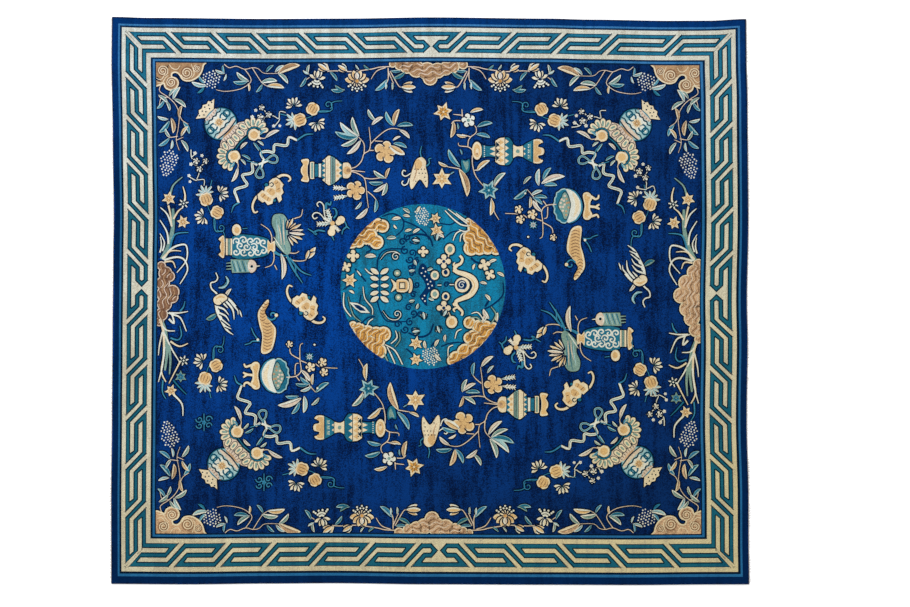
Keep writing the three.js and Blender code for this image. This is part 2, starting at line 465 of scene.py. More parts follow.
def fretPiece(side, points, layer, mitred=False):
    # an ivory stroke with a dark rim round it, open where it leaves the ivory lines, and a thin dark
    # lip on top, which a mitred stroke has only where it runs along the side
    rows = fretPlace["rows"]
    lap = fret["lap"]
    ends = {0: -lap, rows: rows + lap}
    chart = chartOf("borderIvory")
    spots = [fretSpot(side, along, ends.get(deep, deep), layer + 1) for along, deep in points]
    chart.faces.new([chart.verts.new(spot) for spot in spots])
    for start, end in zip(points, points[1:] + points[:1]):
        if start[1] == end[1] and start[1] in (0, rows):
            continue
        widths = [(fret["rim"], 0)]
        if start[1] == end[1] or not mitred:
            widths.append((fret["lip"], 2))
        for width, lift in widths:
            first, second = (fretSpot(side, *point, layer + lift) for point in (start, end))
            along = (second - first).normalized()
            across = Vector((-along.y, along.x, 0)) * width / 2
            run = [first - along * width / 5, second + along * width / 5]
            ribbon("shade", [spot + across for spot in run], [spot - across for spot in run])


def fretHalf(side, starts, middle):
    # the fret from one corner to the middle of its side
    heading = 1 if middle > starts[0] else -1
    stroke = fret["stroke"] * heading
    layer = borderLayer + 2

    def piece(points, mitred=False):
        fretPiece(side, [(origin + reach * stroke, deep) for origin, reach, deep in points], layer, mitred)

    corner, second = starts[0], starts[1]
    piece([(corner, 0, 0), (corner, 0.62, 0), (corner, 3.7, 3), (second, -0.7, 3), (second, 0.15, 4),
        (corner, 3.9, 4)], mitred=True)
    piece([(corner, 2.7, 1), (second, -0.2, 1), (second, 3.85, 5), (second, 2.5, 5), (second, -0.5, 2),
        (corner, 3.6, 2)])
    for own, other in zip(starts[1:], starts[2:]):
        piece([(own, 0, 0), (own, 1.3, 0), (own, 4.3, 3), (other, -0.7, 3), (other, 0.15, 4),
            (own, 4.15, 4)])
        piece([(own, 3.7, 1), (other, -0.2, 1), (other, 3.85, 5), (other, 2.5, 5), (other, -0.5, 2),
            (own, 4.45, 2)])
    last = starts[-1]
    piece([(last, 0, 0), (last, 1.3, 0), (last, 4.3, 3), (middle, -1.95, 3), (middle, -1.6, 3.5),
        (middle, -1.95, 4), (last, 4.15, 4)])


def fretMiddle(side, low, middle, high):
    # the waisted tie at the middle of a side, open to the inner line
    stroke = fret["stroke"]
    barLow, barHigh = low + 3.9 * stroke, high - 3.9 * stroke
    tip = 0.85 * stroke
    fretPiece(side, [(barLow, 1), (barHigh, 1), (barHigh - tip, 2), (middle + 1.7 * stroke, 2),
        (middle + 0.25 * stroke, 3.5), (middle + 1.8 * stroke, 5), (middle - 1.8 * stroke, 5),
        (middle - 0.25 * stroke, 3.5), (middle - 1.7 * stroke, 2), (barLow + tip, 2)], borderLayer + 2)


for side, rows in fretSides.items():
    fretHalf(side, rows["low"], rows["middle"])
    fretHalf(side, rows["high"], rows["middle"])
    fretMiddle(side, rows["low"][-1], rows["middle"], rows["high"][-1])
print("border drawn")


# the wools of a leaf: its rim and its heart
leafWools = {
    "pale": ("ivory", "mist"),
    "cool": ("mist", "sky"),
    "sea": ("mist", "teal"),
    "dry": ("ivory", "ochre"),
    "tan": ("cream", "tan"),
    "sage": ("ivory", "sage"),
    "dusk": ("sage", "teal"),
    "blue": ("sky", "teal"),
    "straw": ("ivory", "stem"),
    "petal": ("ivory", "cream"),
    "sun": ("cream", "ochre"),
}


def toward(turn, length, x=0, y=0):
    # the point at this length from a place, in the direction of the turn in degrees
    return x + length * cos(radians(turn)), y + length * sin(radians(turn))


def leaf(pen, x, y, turn, length, width=0.3, dye="pale", bend=0.08, vein=True):
    # a pointed leaf: its rim, its heart a little to one side, and a dark vein; width and bend are
    # shares of its length
    rim, heart = leafWools[dye]
    side = toward(turn + 90, 1)

    def along(share, off):
        px, py = toward(turn, length * share, x, y)
        return px + side[0] * length * off, py + side[1] * length * off

    spine = [along(0, 0), along(0.35, bend), along(0.7, bend), along(1, 0)]
    pen.line(rim, spine, [length * width * w for w in (0.15, 0.8, 1.0, 0.75, 0.08)], steps=3)
    edge, pen.edge = pen.edge, None
    spine = [along(0.06, width * 0.08), along(0.35, bend + width * 0.13), along(0.7, bend + width * 0.12),
        along(0.9, 0.02)]
    pen.line(heart, spine, [length * width * w for w in (0.1, 0.46, 0.58, 0.4, 0.08)], steps=3)
    if vein and length * width > 2.8:
        pen.line("shade", [along(0.02, 0), along(0.4, bend * 0.8), along(0.82, bend * 0.7)],
            (0.35, 0.5, 0.2), steps=2)
    pen.edge = edge


def leaves(pen, rows, width=0.3):
    # a leaf for each row of x, y, turn, length and dye
    for x, y, turn, length, dye in rows:
        leaf(pen, x, y, turn, length, width, dye)


def stalk(pen, points, width=1.1, wool="stem"):
    full, pen.edgeWidth = pen.edgeWidth, 0.9
    pen.line(wool, points, (width, width * 0.9, width * 0.6))
    pen.edgeWidth = full


def curl(pen, wool, x, y, radius, start, turns=1.2, width=0.9):
    # a scroll that winds in to its eye
    steps = round(10 * turns) + 2
    points = []
    for i in range(steps):
        share = i / (steps - 1)
        points.append(toward(start + 360 * turns * share, radius * (1 - 0.8 * share), x, y))
    pen.line(wool, points, (width, width * 0.8), smooth=False)


def starFlower(pen, x, y, radius, wool="cream", heart="ochre", petals=6, turn=0, waist=0.52):
    # pointed petals, each with a pale rim and a warm heart
    for own, share in ((wool, 1.0), (heart, 0.66)):
        outline = []
        for i in range(2 * petals):
            reach = radius * share * (waist if i % 2 else 1.05 if i % 4 else 0.92)
            outline.append(toward(turn + 180 * i / petals, reach, x, y))
        pen.area(own, outline, smooth=False)
    for i in range(petals):
        angle = turn + 180 * (2 * i + 1) / petals
        pen.stroke("brown" if heart == "ochre" else "shade", toward(angle, radius * 0.12, x, y),
            toward(angle, radius * waist * 0.9, x, y), (0.4, 0.6))
    pen.dot(wool, x, y, radius * 0.12, 6)


def blossom(pen, x, y, radius, wool="cream", heart="gold", petals=5, turn=0):
    # round petals round a heart, apart from each other
    pen.dot(wool, x, y, radius * 0.5, 8)
    pen.apart = True
    for i in range(petals):
        px, py = toward(turn + 360 * i / petals, radius * 0.6, x, y)
        pen.dot(wool, px, py, radius * 0.37, 8)
    pen.apart = False
    pen.dot(wool, x, y, radius * 0.4, 8)
    pen.dot(heart, x, y, radius * 0.24, 7)


def lotusSpray(pen, x, y, radius, turn):
    # a small open flower of seven narrow petals, seen from the side
    pen.apart = True
    for i in (0, 6, 1, 5, 2, 4, 3):
        angle = turn + (i - 3) * 34
        px, py = toward(angle, radius * 0.16, x, y)
        leaf(pen, px, py, angle, radius * (0.86 if i % 2 else 1.0), 0.42, "petal", 0, False)
    pen.apart = False
    pen.dot("shade", x, y, radius * 0.2, 7)
    pen.stroke("sage", toward(turn, radius * 0.1, x, y), toward(turn, radius * 0.6, x, y), (0.8, 0.3))


def grapes(pen, x, y, wide, tall, turn=0, pitch=3.15, radius=0.86):
    # small ivory rounds, a little out of their rows, in a bunch that narrows downwards
    rng = random.Random(round(7 * x - 3 * y))
    rows = int(tall / pitch * 1.3) + 1
    for row in range(-rows, rows + 1):
        for step in range(-9, 10):
            gx = (step + 0.5 * (row % 2)) * pitch + rng.uniform(-0.5, 0.5)
            gy = row * pitch * 0.8 + rng.uniform(-0.4, 0.4)
            reach = wide * (1 + 0.35 * gy / tall)
            if (gx / reach) ** 2 + (gy / tall) ** 2 <= 1:
                pen.dot("ivory", *turned(gx, gy, turn, (x, y)), radius * rng.uniform(0.8, 1.1), 7)
                pen.layer -= pen.step
    pen.layer += pen.step


def fruit(pen, x, y, radius, turn):
    # a lobed round fruit with a pale rim and dark seams
    for own, share in (("cream", 1.0), ("ochre", 0.8)):
        rim = [toward(turn + 22.5 * i, radius * share * (1.03 if i % 4 else 0.9), x, y) for i in range(16)]
        pen.area(own, rim)
    for share in (-0.5, -0.12, 0.26, 0.6):
        base = toward(turn + 90, radius * share, x, y)
        bow = toward(turn, radius * 0.1, *toward(turn + 90, radius * share * 1.3, x, y))
        pen.line("brown", [toward(turn + 180, radius * 0.5, *base), bow, toward(turn, radius * 0.55,
            *base)], (0.4, 0.8, 0.4))
    pen.dot("gold", *toward(turn, radius * 0.8, x, y), radius * 0.16, 6)


def tuftLeaves(pen, x, y, turn, length, count, spread, dye):
    # leaves that spread from one point, every other one shorter
    for i in range(count):
        angle = turn + spread * (i / (count - 1) - 0.5)
        leaf(pen, *toward(angle, length * 0.15, x, y), angle, length * (1.0 if i % 2 else 0.82), 0.32, dye,
            0.05)


def scrollLines(pen, eyes, wool):
    # rock or cloud scrolls: rings of pale wool round each eye, given as x, y, radius, start
    for x, y, radius, start in eyes:
        curl(pen, wool, x, y, radius, start, 2.1, 1.0)


def turned(x, y, angle, about=(0, 0)):
    # x and y turned by an angle in degrees, then moved to about
    c, s = cos(radians(angle)), sin(radians(angle))
    return about[0] + c * x - s * y, about[1] + s * x + c * y


def rock(pen, outline, eyes, ridges):
    # a lobed rock with a pale rim, and scrolls and ridges within
    pen.area("tan", outline)
    ring = smoothed(outline, closed=True, steps=4)
    pen.line("cream", ring + ring[:1], (1.5, 1.5), smooth=False)
    scrollLines(pen, eyes, "cream")
    scrollLines(pen, [(x, y, radius * 1.05, start + 180) for x, y, radius, start in eyes], "brown")
    for ridge in ridges:
        pen.line("cream", ridge, (0.5, 0.85, 0.5))


def ribbonTail(pen, points):
    # a tied ribbon fluttering off, its last quarter in another wool
    width = 2.4
    cut = len(points) * 3 // 4
    pen.line("ivory", points[:cut + 1], (width * 0.8, width * 1.15, width, width * 1.15, width * 0.8))
    pen.line("sage", points[:cut], (0.3, width * 0.4, width * 0.3, width * 0.45, 0.3))
    pen.line("sky", points[cut:], (width * 0.7, width * 0.6, 0.5))


def petalFan(pen, hub, angles, near, far, width):
    # looped petals round a hub: a dark outline, a pale petal and a green slit
    for angle in angles:
        for wool, start, end, wide in (
            ("shade", near - 0.6, far + 0.8, width + 1.3), ("cream", near, far, width),
            ("sage", near + 1.6, far - 2.2, width * 0.4)
        ):
            outline = [turned(x, y, angle - 90, hub) for x, y in ((-0.36 * wide, start),
                (-0.5 * wide, (start + end) / 2), (-0.42 * wide, end - 0.28 * wide), (0, end),
                (0.42 * wide, end - 0.28 * wide), (0.5 * wide, (start + end) / 2), (0.36 * wide, start))]
            pen.area(wool, outline)


def lotusJar(pen):
    # a round jar tied up in a cloth, drawn with its collar upwards
    pen.area("cream", [(-5, -14.6), (-7.6, -17), (-13.8, -22.2), (-9.6, -22.6), (-8, -25), (-4.8, -24),
        (-1.6, -26.2), (1.6, -24.6), (5.2, -25.6), (7.4, -23), (13.4, -22), (7.4, -17), (5, -14.6)],
        smooth=False)
    for x, y in (
        (-9.4, -21.6), (-5.4, -22), (-1.2, -23.4), (3.4, -22.4), (8.6, -21.4), (-3.4, -18.8), (1.4, -19.4),
        (5, -18.6)
    ):
        pen.dot("shade", x, y, 0.85, 6)
    pen.line("shade", [(-5.6, -15.4), (0, -14.6), (5.6, -15.4)], (1.0, 1.3, 1.0))
    pen.dot("teal", 0, -0.4, 16.4, 28, 0.97)
    pen.dot("mist", 0, -0.4, 15.5, 28, 0.97)
    for low, high, wool in ((-15, -11.2, "stem"), (5.2, 9.0, "stem"), (10, 14.2, "tan")):
        middle = (low + high) / 2
        reach = sqrt(max(15.0 ** 2 - middle ** 2, 60))
        pen.line(wool, [(-reach, middle - 0.8), (0, middle + 0.4), (reach, middle - 0.8)], (1.8, high - low,
            high - low, 1.8))
    pen.area("ivory", [(-6.5, -9.6), (6.5, -9.6), (7.6, -3), (6.5, 3.4), (-6.5, 3.4), (-7.6, -3)])
    for y, bow in ((-10.4, 1), (4.2, -1)):
        reach = sqrt(15.2 ** 2 - y ** 2)
        scallops = [(-reach + reach * i / 4, y + (0.9 * bow if i % 2 else -0.4 * bow)) for i in range(9)]
        pen.line("shade", scallops, (1.1, 1.4, 1.4, 1.1))
    pen.line("shade", [(-13, 8.2), (0, 9.8), (13, 8.2)], (1.1, 1.5, 1.1))
    for i in range(7):
        pen.stroke("brown", (-9 + 3 * i, -13.8), (-9.6 + 3.2 * i, -12), (0.5, 0.7))
        pen.dot("cream", -9 + 3 * i, 6.9, 0.7, 6)
    for side in (-1, 1):
        for x, radius in ((7.2, 3.5), (11.7, 3.3)):
            ring = [toward(a, radius, side * x, -3.2) for a in range(0, 361, 30)]
            pen.line("teal", ring, (1.7, 1.7), smooth=False)
            pen.line("shade", ring, (0.6, 0.6), smooth=False)
        pen.dot("ivory", side * 6.8, -3.2, 1.2, 7)
        pen.dot("ivory", side * 12, -3.2, 1.1, 7)
    starFlower(pen, 0, -2.6, 5.6, "cream", "ochre", 8, 12, 0.68)
    # the cloth collar: two rows of looped folds, opening into a fan of petals at each end
    pen.area("stem", [(-11, 11.4), (0, 12.4), (11, 11.4), (18.4, 16), (21.5, 21), (17, 26.6), (7, 25.2),
        (-7, 25.2), (-17, 26.6), (-21.5, 21), (-18.4, 16)])
    for i in range(9):
        x = -13.6 + 3.4 * i
        pen.stroke("shade" if i % 2 else "brown", (x * 0.82, 12.6 - 0.004 * x * x), (x * 0.95, 17.2),
            (0.5, 0.8))
    petalFan(pen, (0, -22), [90 - 8.8 * i for i in (-2.1, -1.05, 0, 1.05, 2.1)], 38.4, 46.6, 4.8)
    for side in (-1, 1):
        angles = [252, 225, 198, 171, 145]
        petalFan(pen, (side * 15.8, 29.6), angles if side < 0 else [180 - a for a in angles], 6.2, 15.2,
            4.9)
        arc = [toward(a if side < 0 else 180 - a, 7.6, side * 14.8, 32)
            for a in (330, 290, 250, 210, 170, 130)]
        pen.line("shade", arc, (1.4, 2.2, 2.4, 2.2, 1.2))
        pen.line("teal", arc, (0.3, 1.0, 1.1, 1.0, 0.3))
    pen.line("shade", [(-11, 28.4), (-5, 27), (0, 26.8), (5, 27), (11, 28.4)], (2.0, 2.6, 2.6, 2.6, 2.0))
    pen.line("teal", [(-9, 28), (0, 26.8), (9, 28)], (0.5, 1.1, 0.5))
    for side in (-1, 1):
        fruitRim = [turned(x, y, -side * 16, (side * 14.8, 32.2)) for x, y in ((-5.6, 1), (-5.4, -3.4),
            (-1.8, -5.8), (3, -5.6), (5.8, -2.4), (5, 2.4), (2, 4.4), (0.6, 7.6), (-1.4, 4.8), (-4.2, 4.2))]
        pen.area("cream", fruitRim)
        pen.dot("ochre", side * 14.6, 31.6, 3.9, 12)
        stalk(pen, [(side * 16, 37), (side * 18.6, 41), (side * 21.6, 42.6)], 0.9)
        leaf(pen, side * 20.4, 42, 90 - side * 71, 15.5, 0.25, "straw")
        leaf(pen, side * 8.4, 36.6, 90 + side * 14, 9.4, 0.28, "sea")
        leaf(pen, side * 12.4, 38.4, 90 - side * 6, 7.4, 0.32, "sage")
        leaf(pen, side * 18.6, 35.6, 90 - side * 78, 6.4, 0.34, "cool")
    leaf(pen, 5, 31.2, 176, 9.6, 0.3, "straw")
    # the bow where its two ends are tied
    for side in (-1, 1):
        loop = [(side * x, y) for x, y in ((1, 55.6), (4.6, 58.6), (6.4, 63.4), (10, 66.6), (13.6, 64.2),
            (13.4, 60), (9.4, 58.2), (5.4, 57.6), (1, 55.6))]
        pen.line("mist", loop, (1.4, 1.8, 2.0, 1.8, 1.4))
        pen.line("teal", loop, (0.4, 0.8, 0.8, 0.8, 0.4))
        pen.line("ivory", [(side * 4, 55), (0, 57), (-side * 4.8, 59.6)], (1.8, 2.2, 1.2))
        pen.line("sky", [(side * 9, 44), (side * 6, 50), (side * 3.4, 54)], (0.9, 0.8, 0.6))


def fruitSpray(pen):
    # two round fruits, a leaf tuft, two open flowers and a blue tendril, running along x
    stalk(pen, [(-26, 1), (-14, -2), (-6, -4), (4, -2), (14, 4), (24, 4)], 0.8, "sky")
    tuftLeaves(pen, -12, -5.5, 190, 8.5, 6, 170, "pale")
    fruit(pen, -6.5, -5, 6.6, 20)
    fruit(pen, 6.5, 6, 6.4, 60)
    lotusSpray(pen, -12.5, 10, 7.2, 100)
    lotusSpray(pen, 11, -8.4, 7.4, -70)
    pen.line("sky", [(13, 3), (22, 3.4), (26, 6), (25, 11), (29, 13.5), (36, 14)], (1.0, 0.9, 0.5))
    curl(pen, "sky", 22, 10, 4.4, -60, 1.1, 0.85)


def cloudRock(pen, lobes, body="tan", trim="cream", lines=("stem",), turn=0, gap=2.7, width=0.9, rim=0.5):
    # a rock of rounded lobes with a pale rim, and wavy veins that run across it
    step, pen.step = pen.step, 0.3
    edge = pen.edge
    for wool, inset in ((trim, -0.6), (body, rim)):
        for x, y, radius in lobes:
            pen.dot(wool, x, y, radius - inset, 14)
            pen.layer -= pen.step
        pen.layer += pen.step
        pen.edge = None
    middle = [sum(lobe[axis] for lobe in lobes) / len(lobes) for axis in (0, 1)]
    for row in range(-14, 15):
        run = []
        for place in range(-30, 32):
            along = place * 1.6
            across = row * gap + 1.5 * sin(along * 0.5 + row * 0.5) + 0.8 * sin(along * 0.21 - row * 0.9)
            x, y = turned(along, across, turn, middle)
            if place < 31 and any(hypot(x - own[0], y - own[1]) < own[2] - 1.3 for own in lobes):
                run.append((x, y))
                continue
            if len(run) > 2:
                pen.line(lines[row % len(lines)], run, (width * 0.7, width, width * 0.7), steps=2)
                pen.layer -= pen.step
            run = []
    pen.layer += pen.step
    pen.edge = edge
    pen.step = step


def bothSides(points):
    # an outline that is the same below y = 0 as above it
    return points + [(x, -y) for x, y in reversed(points) if y]


def inlaid(pen, outline, wide, tall, shift=0, rim="cream", heart="ochre"):
    # a shape and a smaller one on it
    pen.area(rim, outline)
    pen.area(heart, [(x * wide + shift, y * tall) for x, y in outline])


def crossLines(pen, rows, width=0.7):
    # dark lines across a vessel
    for x, half in rows:
        pen.stroke("shade", (x, half), (x, -half), (width, width))


def vessel(pen, wool, profile):
    # a turned form lying along x, given by its half widths
    side = smoothed(profile, steps=4)
    pen.area(wool, side + [(x, -half) for x, half in reversed(side)], smooth=False)


def teeth(pen, wool, x, half, count, reach):
    # a row of pointed leaves or tongues across a vessel
    pitch = 2 * half / count
    for i in range(count):
        y = -half + pitch * (i + 0.5)
        pen.area(wool, [(x, y - pitch * 0.48), (x + reach, y), (x, y + pitch * 0.48)], smooth=False)


def beads(pen, wool, x, half, count, radius=0.6):
    # a column of small dots
    for i in range(count):
        pen.dot(wool, x, half * (2 * i / (count - 1) - 1), radius, 6)


def lobedFlower(pen, x, y, radius, turn):
    # a flat full flower of five round petals with notches between them
    petals = 5
    pen.dot("cream", x, y, radius * 0.6, 10)
    pen.apart = True
    for i in range(petals):
        angle = turn + 360 * i / petals
        size = radius * (0.42 if i % 2 else 0.37)
        pen.dot("cream", *toward(angle, radius * 0.62, x, y), size, 10, 1.05, angle)
        edge, pen.edge = pen.edge, None
        pen.dot("ochre", *toward(angle, radius * 0.6, x, y), size * 0.76, 10, 1.05, angle)
        pen.edge = edge
    pen.apart = False
    pen.dot("ochre", x, y, radius * 0.5, 10)
    for i in range(petals):
        angle = turn + 36 + 360 * i / petals
        pen.stroke("brown", toward(angle, radius * 0.22, x, y), toward(angle, radius * 0.58, x, y),
            (0.4, 0.7))


def serratedLeaf(pen, x, y, turn, length, dye):
    # a leaf with pointed teeth along both sides
    leaf(pen, x, y, turn, length, 0.22, dye, 0)
    for share in (0.25, 0.45, 0.65, 0.82):
        for side in (-1, 1):
            foot = toward(turn, length * share, x, y)
            pen.stroke(leafWools[dye][0], foot, toward(turn + side * 48, length * 0.24, *foot), (1.3, 0.5))


def beadRows(pen, x, y, turn, rows, spread, radius):
    # arcs of ivory beads behind a flower, each given as its reach and its count
    for reach, count in rows:
        for i in range(count):
            angle = turn + 180 + spread * (i / (count - 1) - 0.5)
            pen.dot("ivory", *toward(angle, reach, x, y), radius, 7)


def peony(pen, x, y, turn):
    # a full flower seen from the side, its lower petals ending in ivory beads
    pen.apart = True
    for spread in (-82, 82, -52, 52, -20, 20, 0):
        angle = turn + spread
        foot = toward(angle, 1.6, x, y)
        length = 10.5 if abs(spread) > 60 else 9.4 if spread else 7
        leaf(pen, *foot, angle, length, 0.6, "sun" if spread else "straw", 0, False)
    for spread in range(-64, 65, 32):
        tail = toward(turn + 180 + spread, 5.6, x, y)
        pen.line("cream", [toward(turn + 180 + spread, 1.5, x, y), tail], (0.8, 1.8, 1.1))
    pen.apart = False
    pen.dot("tan", x, y, 2.1, 8)
    pen.dot("gold", x, y, 1.3, 7)
    beadRows(pen, x, y, turn, ((7.6, 6), (9.9, 5)), 116, 1.02)


def berryFlower(pen, x, y, turn):
    # ivory petals over a hanging cluster of beads
    pen.apart = True
    for spread in (-70, 70, -26, 26, 0):
        leaf(pen, *toward(turn + spread, 1.5, x, y), turn + spread, 7, 0.46, "petal", 0, False)
    pen.apart = False
    beadRows(pen, x, y, turn, ((2.6, 4), (5.2, 5), (7.8, 4), (10, 2)), 88, 1.1)


def tulipBud(pen, x, y, turn, length, dye="dry"):
    # a closed bud of three petals
    pen.apart = True
    for spread in (-30, 30, 0):
        leaf(pen, *toward(turn + spread, 0.6, x, y), turn + spread * 0.8, length * (1 if spread == 0
            else 0.84), 0.36, dye, 0, False)
    pen.apart = False


def darkBud(pen, x, y):
    # a half-open flower: dark between its pale petals
    radius = 5
    pen.dot("shade", x, y, radius * 0.62, 8)
    for i in range(6):
        angle = 60 * i + 15
        pen.stroke("ivory", toward(angle, radius * 0.45, x, y), toward(angle, radius, x, y), (1.6, 1.0))
    pen.dot("ivory", x, y, radius * 0.2, 6)


def bat(pen):
    # a winged beast of the rug makers, its two tails curled
    pen.line("cream", [(-13, -18.7), (-16.4, -20), (-18.4, -15.4), (-17.6, -10), (-14.6, -4.6),
        (-10.5, -2)], (1.2, 1.8, 2.0, 2.2, 2.6))
    pen.line("cream", [(4.4, 13.5), (10.7, 17.1), (16.9, 16.8), (19.6, 13.4), (17.2, 11)], (2.8, 2.4, 2.0,
        1.7, 1.2))
    pen.apart = True
    pen.area("cream", [(-13.4, -2), (-12.6, -6.9), (-8.4, -10), (-6, -9), (-3.1, -12.6), (1.5, -11),
        (2.4, -6.6), (5.6, -4.2), (8.2, -10), (10.9, -7.2), (10.2, -3), (12.6, 0), (11.2, 4.6), (12.6, 8),
        (8.8, 12.6), (5.4, 15), (1.6, 13.8), (-1.6, 11), (-1.6, 6.8), (-5.8, 5.4), (-6.6, 1.2),
        (-8.6, 2.4)], smooth=False)
    pen.apart = False
    for points in (
        [(-10.6, -3), (-6.4, -6.6), (-1.6, -9.2), (0, -6), (-4, -3.4), (-7.6, -0.4)],
        [(-4.4, 1.6), (0.6, -3), (4, -1.4), (3.4, 3), (-1, 4.4)],
        [(4.8, 0.6), (9.6, 0.6), (9, 6.4), (9.6, 9), (5.6, 12.6), (2.4, 10), (5, 6)]
    ):
        pen.area("ochre", points)
    for points in (
        [(-9, -5), (-5.6, -2)], [(-4, -8.4), (-2.4, -5)], [(-1.6, 0.6), (0.4, 3.4)], [(6, 3), (8.6, 4)],
        [(4.6, 8.4), (7, 10.6)]
    ):
        pen.line("brown", points, (0.5, 0.9), smooth=False)
    pen.line("shade", [(-1.4, 8.4), (0.6, 10), (2.6, 8.2), (1.2, 6.2), (-0.6, 6.6)], (0.7, 1.0, 0.8))
    pen.dot("teal", -4.6, 7.6, 1.9, 7)
    pen.dot("teal", 3.6, -8, 1.5, 7)


def crane(pen):
    # a crane on the wing, with a sprig in its beak
    pen.line("mist", [(1, 23.4), (3.2, 18.4), (-0.9, 12.7), (-6.2, 11.9)], (0.7, 2.6, 2.6, 0.9))
    pen.line("teal", [(2, 21), (1.4, 15.6), (-4, 12.6)], (0.4, 1.2, 0.4))
    pen.line("ivory", [(-6.2, 4.2), (-9.3, 7.3), (-13.2, 11.1), (-13.9, 16.5), (-9.3, 18.1), (-7, 21.9),
        (-9, 27)], (1.9, 1.5, 1.3, 1.2, 1.0))
    leaf(pen, 0.6, 1.6, 57, 11, 0.3, "straw")
    leaf(pen, -8, -14, -152, 12, 0.42, "dusk")
    pen.apart = True
    for points, width in (
        ([(-0.9, 3.4), (5.3, -1.2), (11.5, -8.1), (15.3, -12.7), (17.1, -17.4)], 3.0),
        ([(10.2, -7.6), (13, -11), (13.4, -15)], 1.4), ([(1.2, -1.5), (8, -10), (9.4, -20)], 2.0),
        ([(-2.4, -2.6), (3.4, -8.6)], 1.8),
        ([(-8.5, -2.7), (-7, -11.9), (-2.4, -21.9), (2.2, -30.4), (8.4, -35)], 3.4),
        ([(0.4, -26.4), (6.6, -29.4)], 1.4), ([(-3, -19.6), (5.4, -26.4)], 1.5),
        ([(-5, -13.4), (1, -16.4), (4.4, -21.6)], 1.7), ([(-6.4, -7.6), (-0.6, -9.8), (4, -15.4)], 1.9)
    ):
        pen.line("ivory", points, (width, width, width * 0.7, 0.5))
    pen.area("cream", [(-11.3, 0.4), (-8.5, 3.8), (-3.9, 5.8), (0.6, 4.6), (2.6, 1.1), (-2, -2.6),
        (-5.5, -5.2), (-9.8, -4)])
    pen.apart = False
    pen.line("ochre", [(-9, 0.6), (-4.6, 3), (0, 2)], (1.0, 2.2, 0.7))
    for x, y in ((-4.4, -1.4), (-6.6, -8), (-3.4, -16), (5.4, -3.6)):
        pen.stroke("shade", (x, y), (x + 2.6, y - 3.4), (0.4, 0.8))


def walkingBird(pen):
    # a bird seen from the side, with barred feathers and a scrolled wing
    body = [(1.5, 25), (-5, 17.5), (-8, 10.5), (-6.5, 0), (-3.5, -11.5), (-4.5, -28), (4.5, -27), (9, -16),
        (10, -4.5), (6, 1.5), (0.5, 9), (-1.5, 14.5), (3, 22)]
    inlaid(pen, body, 0.8, 0.93, 0.2)
    for i in range(15):
        y = -24 + 3.2 * i
        half = 4.4 if y < 2 else 2.8
        middle = 1.6 if y < 2 else -3.2 + max(0, y - 14) * 0.5
        pen.line("brown", [(middle - half, y + 1), (middle, y - 0.8), (middle + half, y + 1)],
            (0.5, 0.9, 0.5))
    pen.line("sky", [(-6, -16.5), (-13, -16.5), (-16, -18.5), (-21, -20)], (1.4, 1.1, 0.9))
    pen.line("sky", [(-7, -15.5), (-11.5, -10), (-14.5, -3)], (1.4, 1.1, 0.9))
    pen.dot("ivory", -8, -15, 1.4, 7)
    curl(pen, "sky", 6.5, 9.5, 5.4, 200, 1.0, 1.7)
    pen.dot("cream", 10.5, 9.5, 1.8, 8)


def flowerMoth(pen):
    # a moth of petals and leaves, with curled feelers
    for angle, length, dye in (
        (110, 14, "pale"), (183, 14.5, "pale"), (145, 9, "straw"), (-48, 10, "straw")
    ):
        serratedLeaf(pen, *toward(angle, 1, 0, 0), angle, length, dye)
    for x, y, radius in ((9, 3.4, 4), (6.5, 1, 3), (-0.5, -9, 3.8), (0.5, -5, 3)):
        pen.dot("cream", x, y, radius, 10)
    pen.dot("ochre", 0.5, 0, 2.4, 8)
    pen.line("ivory", [(-6.5, 4), (-8, 12), (-8.5, 18), (-12, 21.5), (-15, 19.5), (-13.5, 16.5)],
        (1.0, 1.2, 1.0))
    pen.line("ivory", [(-6.5, 3), (-12, 9.5), (-17, 10.5), (-19.5, 7.5), (-17.5, 4.5), (-14.5, 6)],
        (1.0, 1.2, 1.0))
    pen.line("sky", [(-6, 14), (-5.5, 20), (-2, 18.5), (-1, 22)], (2.6, 2.0, 1.0))
    pen.line("sky", [(1.5, 5), (4.5, 9), (3.5, 14), (0.5, 15)], (1.6, 1.8, 0.9))
    pen.line("sky", [(-7, -8), (-14, -7), (-18, -9.5), (-15, -11), (-24, -5.5)], (1.4, 2.0, 1.0))
    pen.line("sky", [(12.5, 2), (14.5, -3), (11, -6.5), (10, -11)], (1.2, 1.5, 1.1))
    pen.stroke("sky", (14.5, -3), (17.5, -5.5), (1.3, 0.9))
    pen.stroke("sky", (0, -12.5), (2, -17), (1.4, 0.8))


def speckledMoth(pen):
    # a moth with dark specks on its pale wings
    wings = [(2, 15), (6, 11), (6, 5), (8, -4), (7, -15.5), (0, -7), (-8, -17), (-10, -8), (-6, 7),
        (-3, 13)]
    pen.area("cream", wings)
    pen.area("ochre", [(-4.5, 11), (-1, 13), (2.5, 8), (-1, 2), (-5, 4)])
    for i in range(16):
        x, y = -5 + 3.3 * (i % 4) + (i // 4) % 2, 3 - 4 * (i // 4)
        if y > -3 - 1.1 * abs(x) or abs(x) > 3:
            pen.dot("shade", x, y, 0.7, 6)
    pen.line("tan", [(-5, 8), (-3.5, 0), (-6.5, -9)], (0.6, 1.1, 0.5))
    pen.line("sky", [(1.5, 15), (0.5, 20), (1.8, 26)], (1.2, 0.8), smooth=True)
    pen.line("sky", [(6.5, 6), (9.5, 9), (9, 13), (11.5, 14)], (1.2, 0.9))
    pen.line("ivory", [(-9, -1), (-14, -4), (-17.5, -2), (-16.5, 1.8), (-14, 1)], (1.0, 1.3, 1.0))
    pen.line("ivory", [(-10.5, -6), (-12.5, -11.5), (-16, -13), (-18, -10.5), (-16.5, -8.5)],
        (1.0, 1.3, 1.0))


